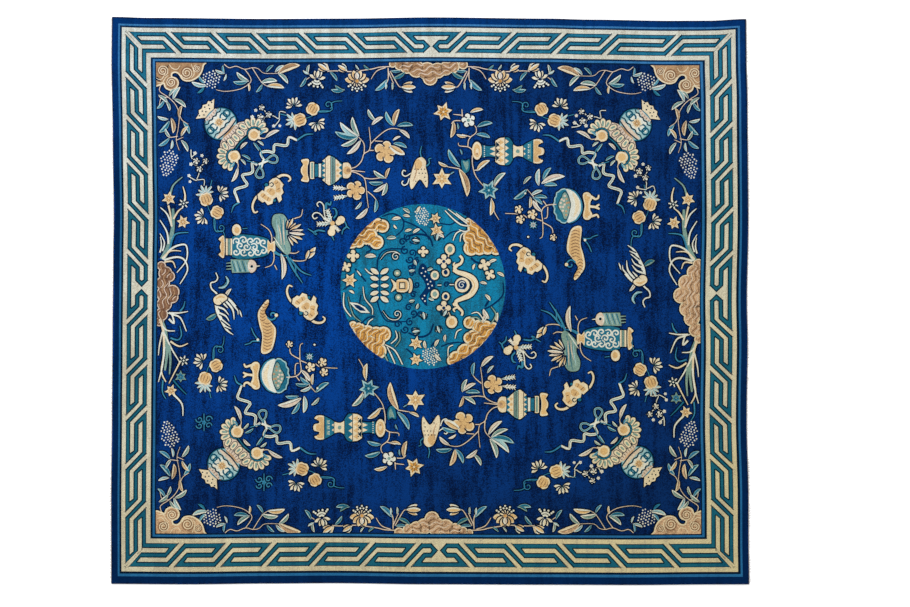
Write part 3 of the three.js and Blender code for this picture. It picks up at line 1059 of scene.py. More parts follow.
def plant(pen, name):
    # a branch from the table below
    stems, foliage = plants[name]
    for points in stems:
        stalk(pen, points, 1.0)
    for x, y, turn, length, dye in foliage:
        if dye == "bud":
            tulipBud(pen, x, y, turn, length)
        else:
            leaf(pen, x, y, turn, length, 0.3 if length < 18 else 0.26, dye)


def waistedVase(pen):
    # a round vase on a high foot, its mouth towards x, with a flowering branch
    foot = bothSides([(-27.5, 10), (-24, 11.4), (-20.5, 11.4), (-19.5, 9), (-20.8, 4)])
    inlaid(pen, foot + [(-25.4, -6), (-27.4, -2.2), (-27.4, 2.2), (-25.4, 6)], 0.7, 0.86, -7)
    vessel(pen, "cream", [(-18.6, 8.0), (-16.5, 8.6), (-14, 8.2)])
    vessel(pen, "sage", [(-17.4, 7.6), (-15.4, 7.6)])
    vessel(pen, "teal", [(-13.6, 6.4), (-10.2, 6.0)])
    vessel(pen, "ivory", [(-10.2, 6.6), (-7.2, 6.8)])
    vessel(pen, "teal", [(-7.1, 5.5), (-4.5, 10), (0, 14.6), (5, 13.3), (10, 9.2), (14.8, 6.3)])
    vessel(pen, "cream", [(-3.4, 11.8), (0, 14.6), (2.2, 14.2)])
    teeth(pen, "cream", -3.2, 12, 5, -3.0)
    vessel(pen, "sage", [(2.2, 14.0), (6.4, 12.3)])
    crossLines(pen, [(4.4, 12.6)], 0.9)
    vessel(pen, "cream", [(6.6, 11.8), (9, 10), (10.6, 8.4)])
    teeth(pen, "cream", 10.2, 8.2, 3, 3.2)
    for y in (-5.5, 0, 5.5):
        pen.dot("ochre", 9.2, y, 1.5, 7)
    crossLines(pen, [(-18.8, 8), (-14.2, 8), (-10.1, 6.4), (-7.1, 6.6), (-3.2, 11.6), (2.2, 13.8),
        (6.6, 11.8), (14, 6.6)])
    pen.area("cream", bothSides([(14.4, 6), (16.5, 7.7), (20, 7.4), (22.6, 3.5)]))
    pen.dot("ochre", 18.6, 0, 4.2, 10)
    pen.dot("tan", 20, 0, 2.2, 8)
    plant(pen, "flowerBranch")
    lobedFlower(pen, 57, 18.5, 11.2, 80)
    leaf(pen, 61, 24.5, -31, 17, 0.4, "dry", 0)
    lobedFlower(pen, 27, -19.8, 9.6, 70)
    for x, y, turn, dye in ((18.5, -18.5, 174, "straw"), (19, -25.5, -171, "pale")):
        serratedLeaf(pen, x, y, turn, 14, dye)


def beakerVase(pen):
    # a tall beaker vase, its mouth away from x, on a scrolled foot, with two flowering branches
    foot = [(28.5, 9), (31, 12), (36.5, 11.6), (38.5, 8.8), (35, 8), (33.8, 4.5), (38.5, 3.2), (39.8, 0)]
    inlaid(pen, bothSides(foot), 0.7, 0.88, 9.4)
    vessel(pen, "teal", [(18.4, 5.4), (22, 8), (29, 11.5)])
    beads(pen, "ivory", 24, 6.6, 6)
    teeth(pen, "sage", 26.2, 8, 3, -3.2)
    vessel(pen, "cream", [(8.6, 6.8), (13, 4.6), (18.6, 5.6)])
    teeth(pen, "cream", 18, 5, 2, 3.4)
    pen.dot("sage", 13.4, 0, 2.0, 8)
    vessel(pen, "teal", [(-9, 10), (-5, 13), (1, 13.8), (5, 13.2), (8.6, 8)])
    vessel(pen, "cream", [(-9, 10.4), (-5, 13), (-2, 13.6), (0.5, 13.7)])
    teeth(pen, "cream", 0.2, 13, 4, 4.2)
    teeth(pen, "shade", -8.4, 10, 3, 3.4)
    teeth(pen, "ochre", -4.8, 12, 4, 4.6)
    beads(pen, "shade", -5.4, 9, 6, 0.7)
    vessel(pen, "teal", [(-22.6, 6.4), (-16, 5), (-9, 5.6)])
    beads(pen, "ivory", -20, 5.2, 6)
    teeth(pen, "cream", -9.2, 5, 2, -5.5)
    pen.dot("cream", -27.4, 0.6, 5.0, 16, 1.8)
    pen.dot("ochre", -27.4, 0.6, 3.4, 14, 2.0)
    pen.dot("cream", -27.2, -0.6, 1.6, 10, 2.4)
    pen.dot("tan", -27.4, -2.5, 1.3, 8)
    crossLines(pen, [(28.4, 10.6), (19, 5.6), (8.4, 7.4), (0.5, 13.4), (-9, 8), (-22.4, 6.2)])
    plant(pen, "beakerBranches")
    blossom(pen, -36, 31, 7.2, "ivory", "sage", 5, 30)
    for x, y, radius, wool, heart, turn in (
        (-61, 39.5, 9.8, "cream", "gold", 12), (-62.5, -27.5, 10.4, "cream", "ochre", 30),
        (-15.5, -39, 10.4, "mist", "teal", 8)
    ):
        starFlower(pen, x, y, radius, wool, heart, 6, turn)
    pen.area("teal", [(-43, -8.5), (-39, -9.5), (-35, -8), (-34.5, -15), (-36, -20), (-40, -21.5),
        (-42.5, -17)])
    pen.area("sage", [(-41.5, -10), (-39, -10.8), (-36.4, -10), (-36, -15), (-38, -19)])


def bowlAndTree(pen):
    # a footed bowl on a three-legged stand, its mouth away from x, with a dwarf plum and bamboo
    brim = [(-3.8, 17), (-6.6, 14.8), (-9, 13.4), (-9.4, 10.4), (-11, 7.6), (-11.2, 4), (-12.6, 0.9),
        (-11.2, -2.6), (-11.6, -6.6), (-9.4, -9.6), (-8.8, -13.4), (-5.6, -15.4), (-3.4, -17.2)]
    pen.area("mist", brim + [(1, -17), (4, -10), (5, 0), (4, 10), (1, 17)])
    pen.area("teal", [(x * 0.88, y * 0.93) for x, y in brim] + [(1, -15.6), (4, -9), (5, 0), (4, 9),
        (1, 15.6)])
    pen.area("sky", [(2, 17), (6, 16.6), (11, 13.8), (16, 6.6), (17.4, -1), (16.4, -7), (12.4, -13.6),
        (7, -16.8), (3, -16.8), (7, -9), (8, 0), (7, 9)])
    pen.area("ivory", [(1, 16.6), (5.4, 15.8), (10, 12.8), (14.6, 6), (15.8, -1), (14.8, -6.6), (11, -12.8),
        (6.4, -15.8), (2, -16.2), (4.2, -8), (5.4, 0.9), (4.2, 9)])
    pen.line("cream", [(7.6, 12.6), (11.6, 5), (11.8, -3), (8.5, -11)], (1.0, 4.0, 4.0, 1.0))
    soil = [(-7.8, 1), (-6, 6), (-3.8, 9.5), (-2.6, 13), (0.2, 14.6), (2.4, 12), (4.2, 8), (5.8, 2),
        (5, -4), (3.6, -9), (1, -14.2), (-1.8, -12.6), (-3.2, -8), (-6.2, -3.5)]
    inlaid(pen, soil, 0.86, 0.93, rim="shade", heart="sage")
    for x, y in (
        (-4.4, 3), (-3.4, 6.4), (-0.4, 10), (1.6, 3), (-2, -1), (1, -5.4), (-0.6, 1.4), (0.8, -9),
        (3.4, -1.6), (-2.4, -4.8), (1.4, 7), (-4.8, -1), (-1.2, 5.2), (3.6, 3.4)
    ):
        pen.dot("stem" if x < 0 else "tan", x, y, 1.25, 6)
    pen.area("cream", [(17.6, 10.6), (20.4, 13.6), (24.4, 12.8), (27, 8), (25.2, 3.4), (25, -4), (27, -8),
        (25, -12.8), (20.4, -13.8), (17.8, -10), (19.4, 0)])
    pen.area("ochre", [(18.8, 9.8), (21, 12), (23.6, 11), (25, 8), (23.4, 4), (23.4, -4), (25, -8),
        (23.6, -11.2), (20.8, -12), (19, -9.4), (20.6, 0)])
    for points in (
        [(22, 11.6), (27.2, 8.7), (30.1, 6.8), (33, 8), (33.4, 11)],
        [(24, -0.4), (30.1, -1), (32.4, 0.4), (34.2, 1.6)], [(30, -1), (33, -2.4), (34.2, -3.4)],
        [(23, -11.4), (28.6, -9.7), (32, -9), (33.4, -12)]
    ):
        pen.line("cream", points, (2.6, 2.1, 1.5))
    plant(pen, "plumTree")
    for x, y, radius in ((-46.5, -3.5, 4.4), (-45, -13.5, 4.6), (-33, -8.5, 5.2), (-12, -31.5, 3.6)):
        blossom(pen, x, y, radius, "cream", "ochre")
    starFlower(pen, -32, -19, 4.8, "sky", "ivory", 8)
    for x, y in ((-40, 12.5), (-37, -31)):
        pen.dot("ivory", x, y, 1.1, 7)


def lotusVase(pen):
    # a scroll-painted vase with a lotus, its mouth towards x, and a book and a fruit beside it
    foot = bothSides([(-26, 11), (-28.5, 10.2), (-31, 7.5), (-28.6, 5), (-29.8, 0)])
    inlaid(pen, foot + [(-25, -5), (-25, 5)], 0.6, 0.84, -10.8)
    for x, wool in ((-22.8, "cream"), (-20.4, "sage"), (-18.4, "cream")):
        vessel(pen, wool, [(x - 1, 8.2), (x + 1, 8.2)])
    crossLines(pen, [(-21.6, 8), (-19.4, 8)], 0.6)
    vessel(pen, "teal", [(-17.5, 10), (-10, 12.2), (0, 11.8), (12, 10), (19, 7.4)])
    scroll = [(-3.4, -1.6), (-2.6, 1.6), (0.2, 2.8), (2.8, 1.2), (2.2, -1.4), (0, -1.4), (-0.2, 0.4)]
    for x, y, turn in (
        (-13.4, 5.6, 20), (-6.4, 7, -40), (0.6, 5.2, 60), (7.4, 5.6, -20), (13.6, 3.6, 80),
        (-13, -5.2, 200), (-6, -5.8, 120), (1.4, -6, 240), (8.2, -5.4, 160), (14, -3.4, 260),
        (-9.6, 0.6, 80), (-2.4, -0.4, 170), (4.6, 0.2, 300)
    ):
        pen.line("ivory", [turned(px, py, turn, (x, y)) for px, py in scroll], (1.0, 1.5, 1.5, 1.2))
    pen.area("cream", bothSides([(18, 6.5), (21, 3.6), (25, 6), (25.5, 0)]))
    pen.area("ochre", bothSides([(18.6, 4.6), (21, 2.4), (23.6, 3.6), (23.8, 0)]))
    plant(pen, "lotusStems")
    for points, width in (
        ([(37, -8), (43.5, -21.9), (53, -36.4)], 2.4), ([(40, -11), (51.2, -24.2), (61.8, -28.6)], 1.9),
        ([(45.6, -17), (46.6, -29.5)], 1.4), ([(24.6, -5), (30, -8), (36, -9)], 3.0)
    ):
        pen.line("sky", points, (width, width * 0.8, 0.6))
    leaf(pen, 31.4, -7, -88, 25.5, 0.2, "straw", 0.09)
    pads = [(23.6, 31), (22.4, 22.6), (26.2, 13.4), (25.6, 4.2), (30.4, -2.4), (37.4, -8), (41.2, -3.5),
        (39.4, 5.7), (38, 16.5), (38.2, 25), (34.6, 31.6), (29, 33)]
    pen.area("sage", pads)
    for points, wool in (
        ([(30, 31), (31.6, 22), (32.6, 10), (36, -3)], "teal"),
        ([(26.4, 27), (28.4, 16), (29.4, 3)], "mist"), ([(35, 29), (35.4, 18), (36.4, 6)], "teal"),
        ([(33.6, 27), (34, 14), (34.6, 2)], "stem"), ([(28.6, 22), (31, 12), (31.6, 2)], "stem"),
        ([(24, 10), (28, 4), (34, -5)], "ivory")
    ):
        pen.line(wool, points, (0.4, 1.1, 0.5))
    pen.apart = True
    for angle, length in (
        (86, 12.4), (67, 15.7), (-65, 14.4), (48, 13), (-45, 15.2), (31, 16.2), (-24, 16.8), (10, 16.4),
        (-6, 17.7)
    ):
        leaf(pen, *toward(angle, 2.4, 37.4, 14.2), angle, length - 2.4, 0.2, "dry" if abs(angle) > 12
            else "straw", 0, False)
    for angle, length in ((50, 15), (35, 11), (70, 9)):
        leaf(pen, 56.4, -12, angle, length, 0.34, "dry", 0, False)
    pen.apart = False
    pen.dot("cream", -13, 17, 4.6, 12, 1.25)
    pen.dot("ochre", -12.6, 16.6, 2.8, 10, 1.2)
    pen.stroke("sky", (-7, 18), (-2, 18.6), (0.9, 0.6))
    pen.area("sage", [(-19, -12.5), (0, -13), (1.5, -25.5), (-17.5, -26)], smooth=False)
    for i, x in enumerate((-16, -13.6, -11.2, -8.6, -6, -3.4)):
        pen.stroke("mist" if i % 2 else "teal", (x - 1.5, -14), (x + 2, -24.8), (0.8, 1.3))
    pen.area("stem", [(0.4, -13), (5, -14.4), (7, -19), (5.4, -24), (1.4, -26), (-1.6, -22), (-1.8, -17)])
    curl(pen, "ivory", 2.2, -19.6, 4.2, 120, 0.8, 1.2)
    pen.dot("shade", 2.2, -19.6, 1.5, 7)
    pen.stroke("ivory", (7, -19.4), (10.4, -19), (1.2, 0.6))
    for y in (-16, -19, -22):
        pen.stroke("sage", (-23.4, y - 0.4), (-18, y), (0.7, 1.4))


def blossomTwig(pen):
    # a dry twig set with small blossoms
    for points in (
        [(-14, 18), (-13.5, 10), (-9, 5), (-8, 0), (-6, -6), (-8, -12), (-1, -12), (-1, -18)],
        [(-16, -9), (-11, -12), (-8, -13)], [(-8, 2), (-13, 4)], [(-6, 0), (0, 5), (1, 8)],
        [(-13, 11), (-9, 14)]
    ):
        pen.line("ivory", points, (0.9, 0.7))
    for x, y, radius in (
        (-9, 6.5, 3.4), (-5.5, -1.5, 3.2), (-14, 3.5, 2), (0.5, 6.5, 3), (-16, -8, 1.8), (-15, -14, 1.6),
        (-3, 12, 1.8), (-10, 14.5, 2)
    ):
        blossom(pen, x, y, radius, "ivory", "tan")


def scrollCharm(pen):
    # a plain ornament of facing scrolls round a blossom
    for side in (-1, 1):
        curl(pen, "sky", side * 4.4, 2.6, 3.6, 90 - side * 90, 1.0, 1.1)
        curl(pen, "sky", side * 4.4, -3.4, 3.2, 270 + side * 90, 1.0, 1.1)
    pen.stroke("sky", (0, 8), (0, -8.5), (0.9, 0.9))
    blossom(pen, 0, -0.4, 2.4, "sky", "teal")


# the branches of each motif, in knots from its middle: first the stems, each as its points, then the
# leaves, each as its foot, the way it points in degrees, its length and its wools
plants = {
    "flowerBranch": (
        [
            [(22.5, 2), (28, 4), (33, 9.5), (35.5, 16.5), (40.5, 20), (42, 26.5), (41.5, 34), (40.5, 43)],
            [(35.5, 16.5), (35.5, 26.5), (30, 33.5)],
            [(42, 26.5), (49.5, 34), (57.5, 40), (64, 42), (71.5, 41)], [(46.5, 29.5), (55.5, 29)],
            [(40.5, 20), (47.5, 20)],
            [(22.5, -1), (29, -3), (35.5, -7.5), (37.5, -15), (38.5, -26.5), (40, -37.5)],
            [(35.5, -7.5), (43.5, -8.5), (54.5, -7), (57.5, -8)], [(37.5, -18.5), (33, -19)],
            [(39, -21), (44.5, -25.5), (48, -30)], [(23, 0), (36.5, -1.5)]
        ],
        [
            (30.5, 34.5, 109, 20, "sage"), (29.5, 33.5, 141, 23, "pale"), (29, 33.5, 167, 23, "sea"),
            (29, 32.5, -155, 18, "sage"), (32, 30, -135, 19, "straw"), (43.5, 45.5, 35, 13.5, "straw"),
            (46.5, 50, 122, 13, "sage"), (64.5, 45, 117, 15.5, "cool"), (65.5, 45, 72, 17, "tan"),
            (69, 44.5, 2, 15.5, "sea"), (71, 40.5, -40, 13, "straw"), (64.5, 30, 27, 8.5, "straw"),
            (65, 27, -18, 14, "cool"), (69, 21, -37, 9, "dry"), (56.5, -7.5, 147, 13.5, "sage"),
            (57.5, -7.5, 69, 10.5, "tan"), (54.5, -12, 179, 14, "sea"), (56.5, -14, -149, 13.5, "straw"),
            (58, -12.5, -110, 13.5, "sage"), (33, -31.5, -131, 9.5, "pale"), (47.5, -29, -97, 13, "cool"),
            (39, -38, -139, 15.5, "straw")
        ]
    ),
    "beakerBranches": (
        [
            [(-32, 1.5), (-36.5, 4.5), (-45, 5.5), (-46, 8.5)],
            [(-36.5, 4.5), (-36, 10.5), (-33.5, 14.5), (-28.5, 18.5), (-28.5, 24), (-32.5, 28)],
            [(-34, 14.5), (-42.5, 17)], [(-41.5, 36), (-51, 37)], [(-42, 34.5), (-42.5, 42)],
            [(-41.5, 30.5), (-50, 30.5), (-53, 27.5)],
            [(-32, -4), (-32, -12.5), (-29.5, -23), (-24.5, -30.5), (-20, -35.5)],
            [(-30, -19), (-24.5, -18.5)], [(-10, -35), (-4, -27.5)], [(-45, -17.5), (-57, -15.5)],
            [(-13, -47), (-10.5, -59.5), (-5.5, -68.5)]
        ],
        [
            (-27, 24.5, 14, 15.5, "sea"), (-28, 17, -14, 14, "cool"), (-51, 29.5, -100, 16, "tan"),
            (-37.5, 15, 169, 10.5, "dry"), (-34, 39, 12, 13, "dry"), (-44.5, -15.5, 123, 21, "cool"),
            (-56.5, -15, 154, 10.5, "dry"), (-45, -18, -74, 28, "tan"), (-27.5, -19.5, 39, 16.5, "dry"),
            (-54, -23, 32, 4.5, "cool"), (-10.5, -33.5, 46, 16.5, "sage"), (-13, -48, -94, 16, "dry"),
            (-47, 28, -84, 6, "sea"), (-44.5, 2, -68, 5.5, "cool")
        ]
    ),
    "plumTree": (
        [
            [(-9, 1.5), (-18.5, 0.5), (-23.5, -5), (-22.5, -15.5), (-22.5, -29.5), (-25.5, -32.5)],
            [(-23.5, -5), (-27, -1.5), (-30.5, 7.5), (-38, 16.5)],
            [(-22.5, -16.5), (-13, -22.5), (-13, -33.5)], [(-17.5, -1), (-18, -11), (-21, -12.5)],
            [(-23.5, -15), (-32, -11.5)], [(-38, -12), (-44, -8.5), (-60, -7.5)], [(-22, 5), (-18.5, 0.5)]
        ],
        [
            (-26.5, 20.5, 88, 16.5, "pale"), (-22, 26.5, 56, 14, "cool"), (-23.5, 22.5, 17, 24, "straw"),
            (-21, 20.5, 0, 13, "cool"), (-41.5, 22, 44, 10.5, "sage"), (-38.5, 16.5, -144, 16, "sea"),
            (-34, 10.5, 23, 12, "pale"), (-32.5, 8.5, -37, 12, "cool"), (-35, 9, -94, 11, "dry"),
            (-23.5, -5.5, 128, 14, "straw"), (-30.5, 9, -5, 12.5, "sea")
        ]
    ),
    "lotusStems": (
        [
            [(22, 3), (22.1, 10.3), (19, 17.2), (11.3, 22.6)],
            [(24, -4.5), (24.4, -12), (22, -18), (15.5, -20.8)],
            [(39.5, 26.5), (47, 29), (51.5, 31), (53, 37.5)], [(39.5, -6), (45.5, -6.5), (49.5, -4.5)],
            [(36.5, -10.5), (45.5, -14), (55.5, -13.5), (58.5, -9)], [(25, -18.4), (27.4, -23)]
        ], []
    ),
    "centreVine": (
        [
            [
                (-38.5, -3), (-49, -3.5), (-57.5, -5.5), (-78, -8), (-99.5, -7.5), (-119.5, -14),
                (-128.5, -23)
            ], [(-43, -4), (-52, -7.5), (-57.5, -15.5)], [(-40.5, -4.5), (-40.5, -15.5), (-43.5, -21.5)],
            [(-38.5, -7.5), (-30.5, -21.5), (-27.5, -23.5)], [(-40.5, -7.5), (-35, -20)]
        ],
        [
            (-27.5, -7, 180, 10, "sea"), (-23.5, -8.5, -153, 13.5, "dusk"), (-41.5, -16, -138, 16, "cool"),
            (-43, -18.5, -90, 7, "pale"), (-36.5, -19, -90, 7, "sage"), (-27.5, -23.5, 0, 14, "bud"),
            (-59, -6, 141, 7.5, "dusk"), (-69.5, -6, 125, 6, "sage"), (-81, -7.5, 149, 10.5, "bud"),
            (-82.5, -7, 90, 4.5, "sage"), (-100.5, -7, 146, 11.5, "bud"), (-99.5, -7, 108, 7.5, "dry"),
            (-98.5, -8.5, -52, 11, "sea"), (-84, -26, 180, 13.5, "sea"), (-85, -27, 148, 10, "dusk"),
            (-121, -10.5, 79, 9.5, "sage"), (-119.5, -10.5, 148, 7, "pale"), (-122.5, -14, -124, 11, "sea")
        ]
    ),
}


motifStep = 0.4          # how far apart the shapes of a motif lie, in layers


def fourPens(places, turn=0, **settings):
    # the same motif in the four quarters, mirrored about both middle lines: top left, top right,
    # bottom left, bottom right
    turns = (turn, -turn, 180 - turn, 180 + turn)
    flips = (1, -1, -1, 1)
    return [Pen(*place, spin, flip=flip, step=motifStep, **settings)
        for place, spin, flip in zip(places, turns, flips)]


# the four corners, each from its own rock inwards
corners = [(-272.8, 237.2), (270.3, 234.6), (-272, -231.5), (270.5, -231.5)]
cornerRock = {
    "outline": [
        (-4, 4), (46, 4), (46, -1), (44, -8), (40, -13), (33, -16.5), (26, -15.5), (22, -10), (18.5, -8),
        (15, -9), (14.5, -12.5), (19, -14.5), (21, -19), (18.5, -24), (13.5, -25.8), (8.5, -23.5),
        (6.5, -19), (3, -20.5), (-4, -20)
    ],
    "eyes": [(29.5, -8.6, 6.2, 200), (14, -18, 5.2, 40), (5.5, -6.5, 5.5, 300), (40, -4.5, 3.8, 100)],
    "ridges": [
        [(-1, -14), (3, -15.5), (6, -13), (8, -9)], [(12, 0), (15, -4), (20, -5), (23, -1)],
        [(34, 0), (37, -9), (34, -14)], [(0, -18), (5, -18.5), (8, -14), (11, -11)]
    ],
}
topVine = {
    "stems": [
        [(67, 0), (72, -3.5), (79, -2), (87.5, -5), (95, -3.5), (101, -4.5), (107, -9), (121, -9)],
        [(87.5, -5), (94, -16), (86, -23.5), (75, -26.5), (66, -27), (59, -25.5)],
        [(95, -3.5), (104, -17.5), (110, -22)]
    ],
    "leaves": [
        (121, -9, 20, 23, "tan"), (109, -8, 44, 10, "sea"), (118, -8, 38, 11, "pale"),
        (121, -9, -47, 14, "sage"), (104, -18.5, 6, 16, "sage"), (110, -22, -6, 17, "dry"),
        (105, -20, -128, 10, "cool"), (91.5, -17, 143, 15, "sage"), (90, -17.5, 180, 14, "sea"),
        (91, -19, -85, 8, "dry"), (67.5, -9, 160, 10, "pale"), (67, -9, 98, 8, "cool"),
        (69, -10, -112, 7, "pale")
    ],
}
sideVine = {
    "stems": [
        [(3.5, -21), (2.5, -27), (11, -33), (18, -40), (22, -50), (21, -64), (19, -76), (22, -86)],
        [(11, -33), (4, -34), (2, -42)], [(22, -50), (25, -56), (31, -60)],
        [(20.5, -72), (12, -73), (8, -69)], [(19, -76), (26, -73)]
    ],
    "leaves": [
        (16, -35, 60, 14, "pale"), (12, -32, 50, 10, "sage"), (17, -35, -35, 14, "sage"),
        (1, -31, -40, 12, "sage"), (7, -36, -132, 11, "cool"), (9, -37, -70, 10, "sage"),
        (22, -53, 76, 12, "tan"), (26, -58, -62, 13, "cool"), (14, -54, -83, 15, "tan"),
        (11, -55, 165, 11, "pale"), (12, -57, -132, 15, "sea"), (13, -73, 120, 10, "sage"),
        (12, -74, -145, 13, "cool"), (24, -72, 55, 12, "dry"), (24, -76, -60, 13, "sage"),
        (15, -76, -100, 9, "pale")
    ],
}
for pen in fourPens(corners):
    rock(pen, cornerRock["outline"], cornerRock["eyes"], cornerRock["ridges"])
    for vine in (topVine, sideVine):
        pen.layer = 0
        for stem in vine["stems"]:
            stalk(pen, stem, 0.8)
        leaves(pen, vine["leaves"])
    pen.layer = 0
    grapes(pen, 53.8, -15.8, 9.2, 8.8, 20)
    grapes(pen, 11, -99, 8.2, 13.5, -15)
    leaves(pen, [(49, -21.5, 165, 15, "pale"), (47, -19, 125, 9, "cool"), (47, -23, -140, 9, "blue")])

jars = [(-209, 177.4), (205, 176.4), (-206, -162.6), (207, -160.6)]
ribbons = [
    [
        (42.1, -34.7), (39.9, -28.8), (46.6, -27.3), (52.5, -28.1), (53.9, -20.7), (65.7, -21.4),
        (67.9, -13.3), (76, -16.3), (84.4, -10.7), (92.4, -10)
    ],
    [
        (36.2, -41.3), (31.1, -38.4), (31.8, -46.5), (28.9, -49.5), (21.5, -50.9), (23, -55.4),
        (25.9, -61.3), (14.1, -65.7), (15.6, -73), (17.8, -78.9), (12.7, -81.9), (10.4, -88.5)
    ]
]
for pen in fourPens(jars, turn=-133):
    lotusJar(pen)
for pen in fourPens(jars, layer=2):
    for ribbonPoints in ribbons:
        ribbonTail(pen, ribbonPoints)
for pen in fourPens([(-123.8, 186.5), (118, 186), (-121.5, -172.5), (119.8, -175)]):
    fruitSpray(pen)
for pen in fourPens([(-219, 95.6), (215, 90.6), (-220, -70.6), (216, -74.6)], turn=-90):
    fruitSpray(pen)
for x, y, turn in (
    (-225, 133.8, 0), (-162, 192.4, 82), (220.3, -106.4, 180), (156, -178, -98), (220, 127, 20),
    (158, 190, 96)
):
    blossomTwig(Pen(x, y, turn, step=motifStep))
for x, y in ((-226, -120.6), (-166, -180.6)):
    scrollCharm(Pen(x, y, 0, 1.05, step=motifStep))

# the middles of the sides: rocks that rise from the border, with vines and grasses
centreRock = [
    (-36, -0.5, 3), (34.5, -1, 4.2), (-29, -1.5, 4.6), (24.5, -3, 6), (-21.5, -3, 6.6), (17, -5, 6.4),
    (-12, -5.5, 8), (9, -7, 7.4), (-1.5, -7.6, 8.6), (1.5, -14.5, 6.8)
]
for y, turn, x in ((237.8, 0, -1.4), (-231.8, 180, 3.5)):
    for flip in (1, -1):
        pen = Pen(x, y, turn, 1, flip if turn == 0 else -flip, step=motifStep)
        plant(pen, "centreVine")
        peony(pen, -71.6, -17.4, 90)
        berryFlower(pen, -111.6, -15.4, 80)
    cloudRock(Pen(x, y, turn, step=motifStep), centreRock, "tan", "cream", ("stem", "brown"), 8)

sideRocks = {
    "left": [
        (3.5, 26.5, 4), (7.5, 19, 6.5), (11.5, 16, 5), (5, 9, 6.5), (6.5, -1.5, 7.5), (14.5, 0.5, 6.5),
        (14, -4.5, 6), (6.5, -11.5, 7), (3.5, -22, 6), (1.5, -29.5, 4)
    ],
    "right": [
        (-3, 35, 5), (-7, 27, 7), (-15, 16.5, 7.5), (-5.5, 14.5, 9.5), (-20, 4, 7.5), (-10.5, 1.5, 9.5),
        (-5, -9.5, 9.5), (-14.5, -9.5, 7), (-9.5, -19, 7.5), (-5.5, -30.5, 6.5), (-3, -40, 3.5)
    ],
}
sideRockWools = {"left": ("brown", "stem", ("stem", "tan")), "right": ("tan", "cream", ("stem", "brown"))}
# the grasses over and under each rock: wool, width and points
grasses = {
    "above": [
        ("sage", 3.4, [(4.5, 0.5), (11, 14.5), (15, 33.5), (15, 51.5)]),
        ("sky", 1.2, [(11, 7.5), (15.5, 23.5), (21.5, 27), (30.5, 27.5)]),
        ("ivory", 1.3, [(5, 0.5), (12.5, 10.5), (21.5, 15), (28.5, 14), (28.5, 0), (19, -12.5)]),
        ("ivory", 1.3, [(6.5, 0), (18.5, 3), (26.5, 0), (29.5, -10.5), (22, -24)]),
        ("cream", 1.1, [(6.5, -2), (14.5, -1.5), (17.5, -8)]),
        ("cream", 1.1, [(4.5, 2), (12.5, 9), (23, 9)]),
        ("ivory", 1, [(4.5, 9), (6.5, 17.5), (2, 26.5)]),
        ("ivory", 1.2, [(10.5, 16), (9, 28), (2, 40)]),
        ("ivory", 1.2, [(14, 33.5), (9.5, 45.5), (2.5, 52.5)]),
        ("cream", 1.2, [(15.5, 41), (20, 48.5), (24, 52)]),
        ("cream", 1.2, [(10.5, 54.5), (12.5, 45.5), (14, 33.5)]),
        ("sage", 1.2, [(12.5, 66), (15.5, 75), (24.5, 83)]),
        ("cream", 1.2, [(27, 59.5), (27, 66), (25, 73.5)]),
        ("ivory", 1, [(2, 7.5), (3.5, 14.5), (2.5, 23.5)]),
    ],
    "below": [
        ("sage", 2.6, [(3, -6), (7.5, -18), (9, -38), (7, -56)]),
        ("cream", 1.6, [(2, -4.5), (5.5, -17.5), (6, -39.5), (3.5, -57), (8, -67.5)]),
        ("ivory", 1.2, [(5.5, -17.5), (14, -35), (22, -48)]),
        ("ivory", 1.2, [(6.5, -32.5), (4.5, -51.5), (0.5, -67.5)]),
        ("ivory", 1.1, [(4.5, -11.5), (9, -16), (17, -16.5)]),
        ("sky", 1.1, [(12.5, -23.5), (20, -25.5), (23.5, -20.5), (22, -11.5)]),
        ("cream", 1.2, [(12.5, -27), (21.5, -32), (30, -29)]),
        ("ivory", 1.3, [(11, -4.5), (16, -9), (14, -0.5), (9, 1.5)]),
        ("ivory", 1.2, [(14, 0), (22.5, -3.5), (28.5, -17)]),
        ("sky", 1, [(5, -66), (4.5, -77.5), (8, -84.5)]),
        ("sage", 1.8, [(11, -31), (12.5, -45.5), (11.5, -60)]),
        ("teal", 1, [(15.5, -66), (22, -73.5), (28.5, -80)]),
        ("ivory", 1.2, [(15.5, -80), (24, -89.5), (25, -101.5)]),
        ("ivory", 1, [(4.5, -17.5), (1.5, -31), (0.5, -41)]),
        ("cream", 1.1, [(22, -47.5), (18.5, -54.5), (11, -69)]),
        ("ivory", 1.1, [(11, 1.5), (21.5, 1.5), (30, 3)]),
        ("sky", 1.1, [(22, 3), (25.5, 7.5), (27, 13)]),
    ],
}
for side, flip, rockPlace, upper, lower in (
    ("left", 1, (-272.1, 9.1), (-272.1, 41.4), (-272.1, -13.0)),
    ("right", -1, (271.3, 2.0), (269, 40.4), (269, -34.6))
):
    for part, place in (("above", upper), ("below", lower)):
        pen = Pen(*place, flip=flip, step=motifStep)
        for wool, width, points in grasses[part]:
            pen.line(wool, points, (width * 1.6, width * 1.25, width * 0.7))
        if part == "above":
            starFlower(pen, 11, 61.6, 7.2, turn=20)
            starFlower(pen, 25, 38.1, 6.8, turn=50)
            darkBud(pen, 25.7, 56.5)
        else:
            starFlower(pen, 13.2, -76.3, 6.4, turn=10)
            starFlower(pen, 22.8, -62.3, 6.2, "sage", "sky", 6, 30)
            darkBud(pen, 25.7, -46.2)
    cloudRock(Pen(*rockPlace, step=motifStep), sideRocks[side], *sideRockWools[side], 78)

